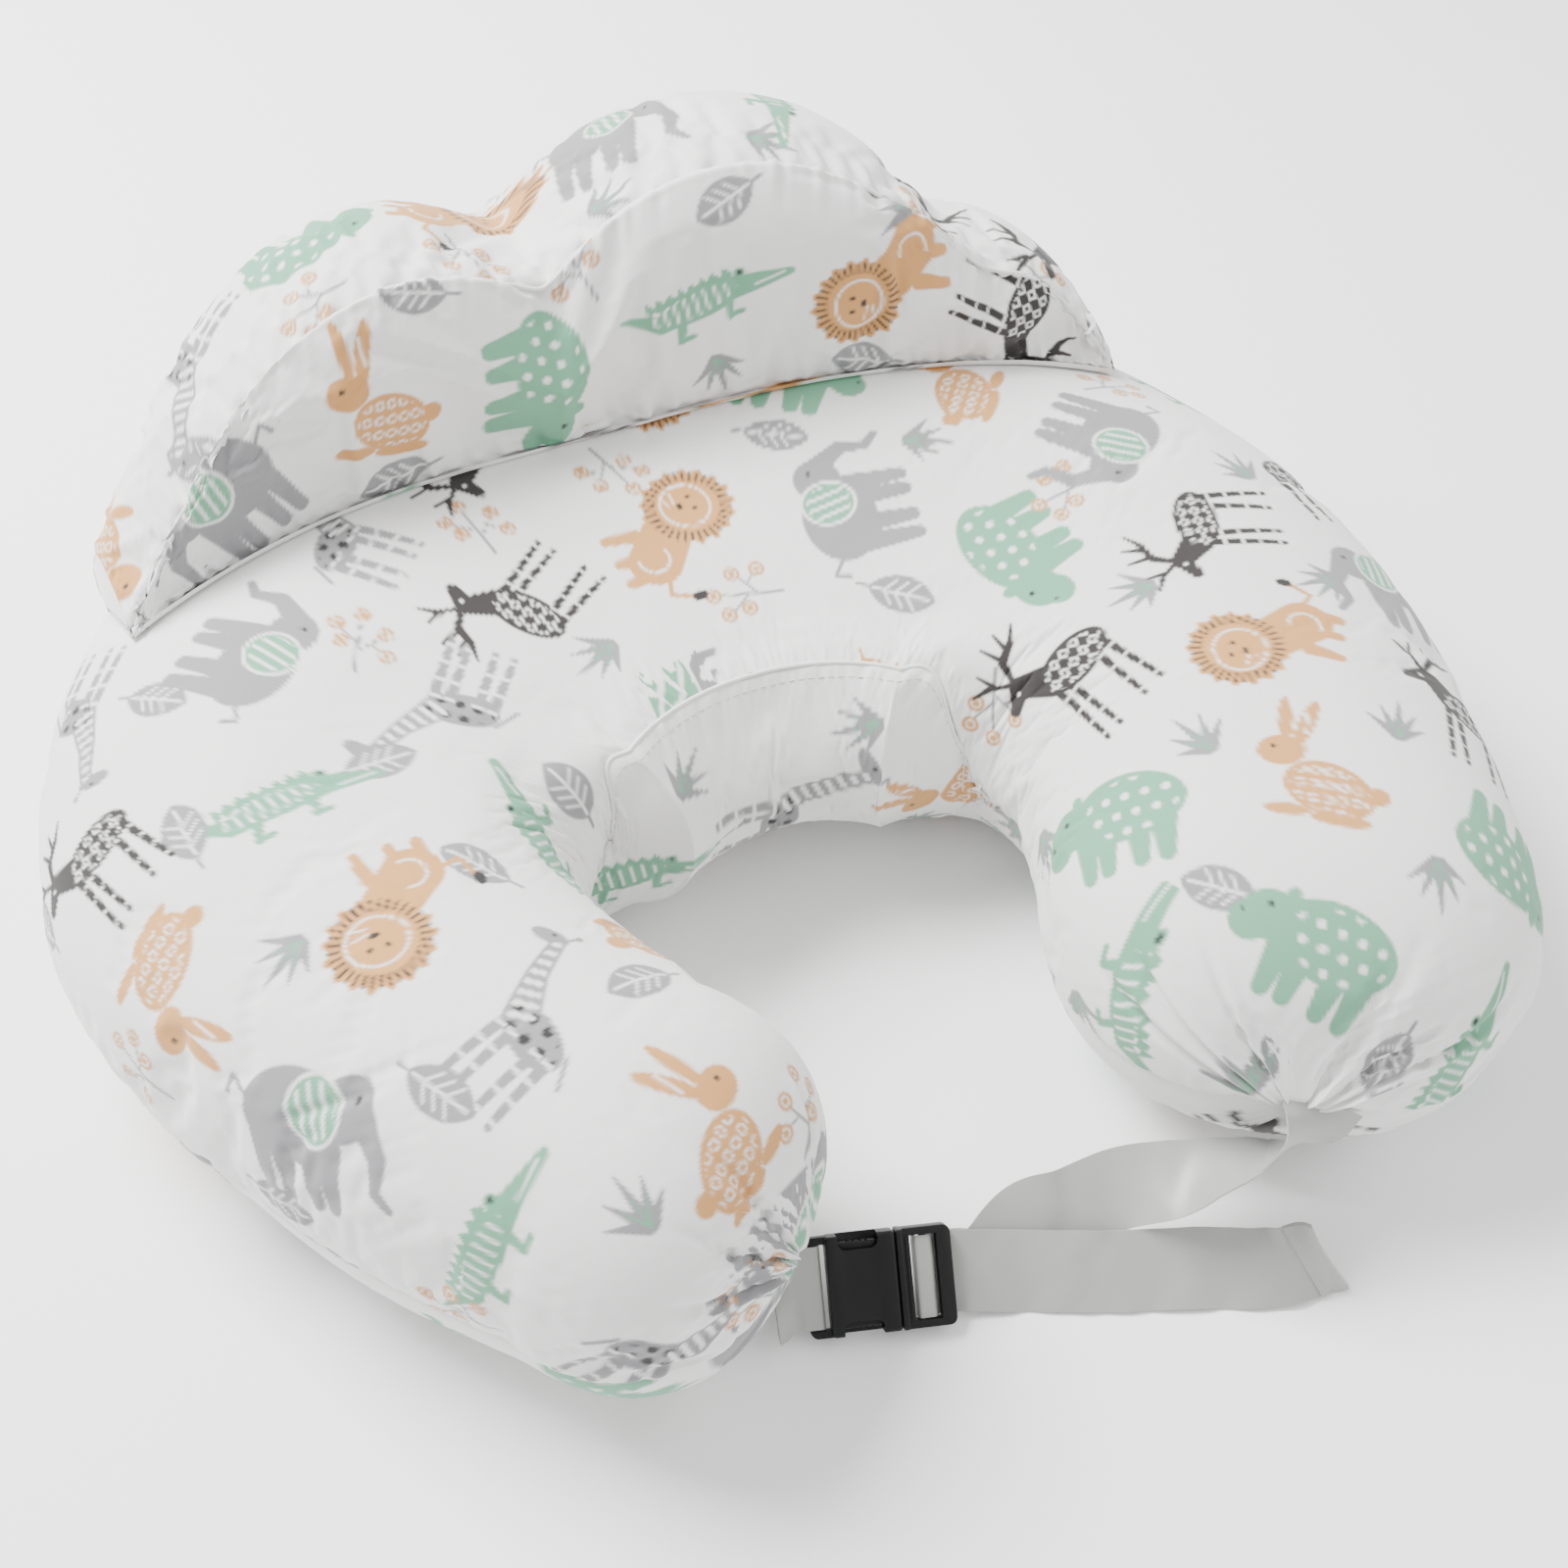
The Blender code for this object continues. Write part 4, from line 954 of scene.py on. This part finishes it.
def ribbonGrid(points, across, square=True, width=None, sag=0.0, seed=1):
    # middle surface of a ribbon through points, and its normals
    count = ribbonSettings["more"]
    width = width or ribbonSettings["width"]
    mid = denser(np.asarray(points, float), 0, count)
    side = unit(denser(unit(np.asarray(across, float)), 0, count))
    ahead = unit(np.gradient(mid, axis=0))
    if square:
        side = unit(side - ahead * np.sum(side * ahead, axis=1, keepdims=True))
    normal = unit(np.cross(ahead, side))
    u = np.linspace(-0.5, 0.5, ribbonSettings["columns"] + 1)
    grid = mid[:, None] + side[:, None] * (u * width)[None, :, None]
    s = np.concatenate([[0], np.cumsum(np.linalg.norm(np.diff(mid, axis=0), axis=1))])[:, None]
    ends = smooth(0, 0.02, s) * smooth(0, 0.02, s[-1] - s)
    wide = ripple(s + 0.3 * u * width, 0.045, seed) * 0.6
    narrow = ripple(s - 0.5 * u * width, 0.028, seed + 1) * 0.3
    bend = sag * ends * (wide + narrow * (2 * np.abs(u)[None, :]))
    grid = grid + normal[:, None] * bend[..., None]
    return grid, np.repeat(normal[:, None], len(u), axis=1)


def sheetMesh(name, grid, normals, thickness):
    # a thin closed sheet about a middle surface
    rows, columns = grid.shape[:2]
    count = rows * columns
    spots = np.concatenate([(grid + normals * thickness / 2).reshape(-1, 3),
                            (grid - normals * thickness / 2).reshape(-1, 3)])
    index = np.arange(count).reshape(rows, columns)
    quads = np.stack([index[:-1, :-1], index[1:, :-1], index[1:, 1:], index[:-1, 1:]], -1).reshape(-1, 4)
    rim = np.concatenate([index[0, :-1], index[:-1, -1], index[-1, :0:-1], index[:0:-1, 0]])
    ahead = np.roll(rim, -1)
    wall = np.stack([rim, ahead, ahead + count, rim + count], -1)
    faces = np.concatenate([quads, quads[:, ::-1] + count, wall])
    mesh = bpy.data.meshes.new(name)
    mesh.from_pydata([tuple(p) for p in spots], [], [tuple(int(i) for i in f) for f in faces])
    mesh.update()
    flatNormals = normals.reshape(-1, 3)
    facing = [f.normal.dot(Vector(flatNormals[k])) for k, f in zip((0, count // 2), mesh.polygons)]
    if sum(facing) < 0:
        mesh.flip_normals()
    mesh.shade_smooth()
    obj = bpy.data.objects.new(name, mesh)
    scene.collection.objects.link(obj)
    bpy.ops.object.select_all(action="DESELECT")
    obj.select_set(True)
    bpy.context.view_layer.objects.active = obj
    bpy.ops.object.shade_smooth_by_angle(angle=math.radians(50))
    return obj


def stitchRow(name, line, normals, body, colour, length=0.0026, pitch=0.0040, radius=0.00026):
    # one row of stitches: short rounded threads that lie along a line
    gone = np.concatenate([[0], np.cumsum(np.linalg.norm(np.diff(line, axis=0), axis=1))])
    spots, faces = [], []
    for s in np.arange(pitch, gone[-1] - pitch, pitch):
        ends = [np.array([np.interp(s + d, gone, line[:, k]) for k in range(3)]) for d in (0, length)]
        out = unit(np.array([np.interp(s, gone, normals[:, k]) for k in range(3)]))
        ahead = unit(ends[1] - ends[0])
        side = np.cross(ahead, out)
        base = len(spots)
        for k, size in ((0.0, 0.35), (0.2, 1.0), (0.8, 1.0), (1.0, 0.35)):
            centre = ends[0] + (ends[1] - ends[0]) * k + out * radius * 0.5
            for a in range(6):
                turn = math.pi * a / 3
                spots.append(centre + (side * math.cos(turn) + out * math.sin(turn)) * radius * size)
        for ring in range(3):
            for a in range(6):
                b = (a + 1) % 6
                low, high = base + ring * 6, base + ring * 6 + 6
                faces.append((low + a, low + b, high + b, high + a))
        faces.append(tuple(base + a for a in range(5, -1, -1)))
        faces.append(tuple(base + 18 + a for a in range(6)))
    mesh = bpy.data.meshes.new(name)
    mesh.from_pydata([tuple(p) for p in spots], [], faces)
    mesh.update()
    mesh.shade_smooth()
    obj = bpy.data.objects.new(name, mesh)
    scene.collection.objects.link(obj)
    mesh.materials.append(colour)
    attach(obj, body)
    return obj


def buildRibbons():
    chosen = ribbonSettings
    up, face = buckleTurn @ np.array((0, 1.0, 0)), buckleTurn @ np.array((0, 0, 1.0))
    thick = chosen["thickness"]

    # from the right arm's tip to the buckle, folded over just below the seam
    fold = [np.array(p) + shift for p in chosen["foldRoute"]]
    run = [np.array(p) + shift for p in chosen["runRoute"]]
    far = list(inBuckle(chosen["runEnd"]))
    grid, normals = ribbonGrid(fold + run, list(chosen["foldAcross"]) + list(chosen["runAcross"]), sag=0.0)
    split = len(fold) * chosen["more"]
    piece = sheetMesh("strapFold", grid[:split + 1], normals[:split + 1], thick)
    finishPiece(piece, "cushion", "ribbon", "strap_fold", material=ribbonCloth)
    grid, normals = ribbonGrid(fold + run + far, list(chosen["foldAcross"]) + list(chosen["runAcross"])
                               + [up] * len(far), sag=0.0018, seed=5)
    piece = sheetMesh("strapLong", grid[split:], normals[split:], thick)
    piece.data.materials.append(ribbonCloth)
    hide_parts("strap_long")
    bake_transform(piece)

    # through the ladder lock and on to the loose tail
    tail = [np.array(p) + shift for p in chosen["tailRoute"]]
    wrap = list(inBuckle(chosen["wrap"]))
    tailAcross = [up] * len(wrap) + list(chosen["tailAcross"])
    grid, normals = ribbonGrid(wrap + tail, tailAcross, sag=0.0020, seed=11)
    rows = len(grid) - chosen["more"]
    # the loose end has curled, so its hem lies aslant
    gone = along(grid, 0)[:, chosen["columns"] // 2]
    ahead = unit(np.gradient(grid, axis=0))
    u = np.linspace(-0.5, 0.5, chosen["columns"] + 1)[None, :] * chosen["width"]
    grid = grid - ahead * (u * 0.55 * smooth(gone[-1] - 0.045, gone[-1], gone)[:, None])[..., None]
    piece = sheetMesh("strapTail", grid[:rows], normals[:rows], thick)
    finishPiece(piece, "plug", "ribbon", "strap_tail", material=ribbonCloth)
    hemGrid, hemNormals = grid[rows - 1:], normals[rows - 1:]
    s = np.linspace(0, 1, len(hemGrid))[:, None, None]
    hemGrid = hemGrid + hemNormals * 0.0003 * np.sin(math.pi * s)
    hem = sheetMesh("strapTailHem", hemGrid, hemNormals, 0.0026)
    finishPiece(hem, "plug", "ribbon", "strap_tail_hem", material=ribbonCloth)
    over = stitchRow("strapTailHemStitch", grid[rows + 1, 1:-1] + normals[rows + 1, 1:-1] * 0.0014,
                     normals[rows + 1, 1:-1], "plug", threadCloth, 0.0020, 0.0029, 0.00022)
    under = stitchRow("strapTailHemStitchUnder", grid[-3, 1:-1] + normals[-3, 1:-1] * 0.0014,
                      normals[-3, 1:-1], "plug", threadCloth, 0.0020, 0.0029, 0.00022)

    # from the left arm's tip round the socket's bar and back
    tip, tipAcross = np.array(chosen["tipEnd"]) + shift, unit(np.array(chosen["tipAcross"]))
    points = [tip + face * 0.0019] + list(inBuckle(chosen["loop"])) + [tip - face * 0.0019]
    across = [tipAcross] + [up] * len(chosen["loop"]) + [tipAcross]
    grid, normals = ribbonGrid(points, across, square=False, sag=0.0)
    piece = sheetMesh("strapShort", grid, normals, thick)
    finishPiece(piece, "cushion", "ribbon", "strap_short", material=ribbonCloth)
    print("ribbons")


# buckle
buckleSettings = {
    "halfWidth": 0.021, "halfDepth": 0.0055, "length": 0.062, "endDepth": 0.0025, "mouth": 0.0385,
    "slot": (0.0045, 0.0090), "slotHalf": 0.01785, "window": (0.0140, 0.0310), "windowIn": 0.0150,
    "ladder": (0.0445, 0.0560), "ladderBar": (0.0490, 0.0520), "prong": (0.0128, 0.0370, 0.0135, 0.0180),
}


def activate(obj):
    bpy.ops.object.select_all(action="DESELECT")
    obj.select_set(True)
    bpy.context.view_layer.objects.active = obj


def block(name, low, high, bevel=0.0, segments=3, upright=False):
    # a box between two corners. upright rounds only the four edges along z
    bpy.ops.mesh.primitive_cube_add(size=1.0, location=[(a + b) / 2 for a, b in zip(low, high)])
    obj = bpy.context.object
    obj.name = name
    obj.scale = [b - a for a, b in zip(low, high)]
    bpy.ops.object.transform_apply(location=True, rotation=False, scale=True)
    if bevel:
        if upright:
            weights = obj.data.attributes.new("bevel_weight_edge", "FLOAT", "EDGE")
            for edge in obj.data.edges:
                a, b = [obj.data.vertices[i].co for i in edge.vertices]
                weights.data[edge.index].value = 1.0 if abs(a.z - b.z) > 1e-5 else 0.0
        soften(obj, bevel, segments, "WEIGHT" if upright else "ANGLE")
    return obj


def soften(obj, width, segments=2, limit="ANGLE"):
    bevel = obj.modifiers.new("bevel", "BEVEL")
    bevel.width = width
    bevel.segments = segments
    bevel.limit_method = limit
    bevel.angle_limit = math.radians(40)
    activate(obj)
    bpy.ops.object.modifier_apply(modifier=bevel.name)


def combine(target, other, operation):
    change = target.modifiers.new("combine", "BOOLEAN")
    change.operation = operation
    change.solver = "EXACT"
    change.object = other
    activate(target)
    bpy.ops.object.modifier_apply(modifier=change.name)
    bpy.data.objects.remove(other, do_unlink=True)


def settle(obj, material, body, slotName, *cadNodes, place=None, angle=35):
    # moves a finished hard piece into place, smooths it and hands it to its body
    if place is not None:
        obj.data.transform(place)
    activate(obj)
    bpy.ops.object.shade_smooth_by_angle(angle=math.radians(angle))
    return finishPiece(obj, body, slotName, *cadNodes, material=material)


def buildBuckle():
    b = buckleSettings
    w, d, e = b["halfWidth"], b["halfDepth"], b["endDepth"]
    socket = block("buckleSocket", (0.0088, -w, -d), (b["mouth"], w, d), 0.0016, 4)
    combine(socket, block("end", (0.0, -w, -e), (0.0140, w, e), 0.0034, 5, True), "UNION")
    combine(socket, block("hollow", (0.0112, -w + 0.0018, -d + 0.0016), (0.06, w - 0.0018, d - 0.0016)),
            "DIFFERENCE")
    combine(socket, block("slot", (b["slot"][0], -b["slotHalf"], -0.02), (b["slot"][1], b["slotHalf"], 0.02),
                          0.0008, 3, True), "DIFFERENCE")
    for k in (-1, 1):
        combine(socket, block("barFlat", (-0.01, -b["slotHalf"], min(k * 0.0012, k * 0.02)),
                              (b["slot"][0] + 0.0006, b["slotHalf"], max(k * 0.0012, k * 0.02))),
                "DIFFERENCE")
        low, high = sorted((k * b["windowIn"], k * 0.034))
        combine(socket, block("window", (b["window"][0], low, -0.0040), (b["window"][1], high, 0.02),
                              0.0034, 5, True), "DIFFERENCE")
    soften(socket, 0.0004, 2)
    settle(socket, blackPlastic, "cushion", "plastic", "buckle_socket", place=buckleFrame)

    plug = block("buckleLadder", (b["mouth"] + 0.0003, -w, -0.0035), (b["length"], w, 0.0035), 0.0032, 5, True)
    combine(plug, block("shoulder", (b["mouth"] + 0.0003, -w, -d), (b["mouth"] + 0.0032, w, d), 0.0009, 3),
            "UNION")
    combine(plug, block("tongue", (0.0150, -0.0040, -0.0022), (b["mouth"] + 0.002, 0.0040, 0.0022), 0.0008, 2),
            "UNION")
    for name, low, high in (("a", b["ladder"][0], b["ladderBar"][0]), ("b", b["ladderBar"][1], b["ladder"][1])):
        combine(plug, block("window" + name, (low, -b["slotHalf"], -0.02), (high, b["slotHalf"], 0.02)),
                "DIFFERENCE")
    for k in (-1, 1):
        combine(plug, block("barFlat", (b["ladder"][0], -b["slotHalf"], min(k * 0.0012, k * 0.02)),
                            (b["ladder"][1], b["slotHalf"], max(k * 0.0012, k * 0.02))), "DIFFERENCE")
        combine(plug, block("rib", (0.0428, -0.0170, min(k * 0.0034, k * 0.0039)),
                            (0.0434, 0.0170, max(k * 0.0034, k * 0.0039))), "UNION")
    soften(plug, 0.0004, 2)
    settle(plug, blackPlastic, "plug", "plastic", "buckle_plug", place=buckleFrame)

    x0, x1, y0, y1 = b["prong"]
    for name, body, cad, k in (("buckleProngUpper", "prong_upper", "buckle_prong_upper", 1),
                               ("buckleProngLower", "prong_lower", "buckle_prong_lower", -1)):
        low, high = sorted((k * y0, k * y1))
        prong = block(name, (x0, low, -0.0032), (x1 - 0.006, high, 0.0032), 0.0011, 3)
        arm = sorted((k * (y0 + 0.0012), k * (y1 - 0.0008)))
        combine(prong, block("arm", (x1 - 0.012, arm[0], -0.0028), (x1, arm[1], 0.0028), 0.0005, 2), "UNION")
        for i in range(4):
            x = x0 + 0.0052 + i * 0.0026
            side = sorted((k * (y1 - 0.0005), k * (y1 + 0.001)))
            combine(prong, block("grip", (x, side[0], -0.0030), (x + 0.0009, side[1], 0.0030)), "DIFFERENCE")
        settle(prong, blackPlastic, body, "plastic", cad, place=buckleFrame)
    print("buckle")


# zip
zipSettings = {"z": 0.150, "half": 0.065, "plane": 0.3778, "tape": 0.0006, "edge": 0.010, "pitch": 0.0017}


def buildZip():
    z, half, plane, tape = zipSettings["z"], zipSettings["half"], zipSettings["plane"], zipSettings["tape"]
    coil = plane + tape + 0.0003
    place = Matrix.Translation(tuple(shift))
    for name, cad, low, high in (("zipTapeUpper", "zip_tape_upper", z + 0.0005, z + zipSettings["edge"]),
                                 ("zipTapeLower", "zip_tape_lower", z - zipSettings["edge"], z - 0.0005)):
        piece = block(name, (-half, plane, low), (half, plane + tape, high), 0.0002, 2)
        settle(piece, tapeCloth, "guard", "zip_tape", cad, place=place)
    teeth = block("zipTeeth", (-half + 0.004, coil, z - 0.0004), (half - 0.004, coil + 0.0007, z + 0.0004))
    count = int((2 * half - 0.010) / zipSettings["pitch"])
    tooth = block("tooth", (-half + 0.005, coil, z - 0.0021), (-half + 0.0058, coil + 0.0016, z + 0.0021),
                  0.0003, 1)
    row = tooth.modifiers.new("row", "ARRAY")
    row.count = count
    row.use_relative_offset = False
    row.use_constant_offset = True
    row.constant_offset_displace = (zipSettings["pitch"], 0, 0)
    activate(tooth)
    bpy.ops.object.modifier_apply(modifier=row.name)
    tooth.select_set(True)
    teeth.select_set(True)
    bpy.context.view_layer.objects.active = teeth
    bpy.ops.object.join()
    settle(teeth, coilPlastic, "guard", "zip_coil", "zip_teeth", place=place)
    mid = half - 0.012
    slider = block("zipSlider", (mid - 0.0055, coil + 0.0002, z - 0.0042),
                   (mid + 0.0055, coil + 0.0034, z + 0.0042), 0.0009, 3)
    combine(slider, block("groove", (mid - 0.02, coil - 0.001, z - 0.0026),
                          (mid + 0.02, coil + 0.0019, z + 0.0026)), "DIFFERENCE")
    settle(slider, zipMetal, "slider", "zip_metal", "zip_slider", place=place)
    x, y = mid - 0.004, coil + 0.0037
    pull = block("zipPull", (x - 0.022, y, z - 0.0030), (x, y + 0.0010, z + 0.0030), 0.0016, 4, True)
    combine(pull, block("hole", (x - 0.0195, y - 0.01, z - 0.0014), (x - 0.0120, y + 0.01, z + 0.0014)),
            "DIFFERENCE")
    soften(pull, 0.0002, 2)
    settle(pull, zipMetal, "pull", "zip_metal", "zip_pull", place=place)
    print("zip")


# run
buildCushion()
buildGuard()
buildRibbons()
buildBuckle()
buildZip()

# floor, light and camera
floorSettings = {"size": 8.0, "colour": (0.97, 0.97, 0.97)}
bpy.ops.mesh.primitive_plane_add(size=floorSettings["size"], location=(0, 0, -0.0004))
floor = bpy.context.object
floor.name = "floor"
floorMaterial, _, _, floorShader = newMaterial("floorPaint")
floorShader.inputs["Base Color"].default_value = (*floorSettings["colour"], 1.0)
floorShader.inputs["Roughness"].default_value = 0.9
floor.data.materials.append(floorMaterial)

world = bpy.data.worlds.new("studio")
scene.world = world
world.use_nodes = True
world.node_tree.nodes["Background"].inputs["Color"].default_value = (1.0, 1.0, 1.0, 1.0)
world.node_tree.nodes["Background"].inputs["Strength"].default_value = 1.0

for name, energy, size, spot, towards in (
        ("key", 150.0, 1.2, (-0.9, 1.0, 1.8), (0.0, 0.0, 0.05)),
        ("fill", 22.0, 2.0, (1.5, -0.8, 1.4), (0.0, 0.0, 0.05))):
    light = bpy.data.lights.new(name, "AREA")
    light.energy = energy
    light.size = size
    lamp = bpy.data.objects.new(name, light)
    lamp.location = spot
    lamp.rotation_euler = (Vector(towards) - Vector(spot)).to_track_quat("-Z", "Y").to_euler()
    scene.collection.objects.link(lamp)

cameraSettings = {"at": (-0.29398, -0.63724, 0.86390), "target": (0.00382, -0.01414, 0.0818),
                  "roll": 2.15, "lens": 51.9}
lens = bpy.data.cameras.new("camera")
lens.lens = cameraSettings["lens"]
lens.sensor_width = 36.0
camera = bpy.data.objects.new("camera", lens)
scene.collection.objects.link(camera)
camera.location = cameraSettings["at"]
aim = Vector(cameraSettings["target"]) - Vector(cameraSettings["at"])
look = aim.to_track_quat("-Z", "Y").to_matrix()
camera.rotation_euler = (look @ Matrix.Rotation(math.radians(cameraSettings["roll"]), 3, "Z")).to_euler()
scene.camera = camera
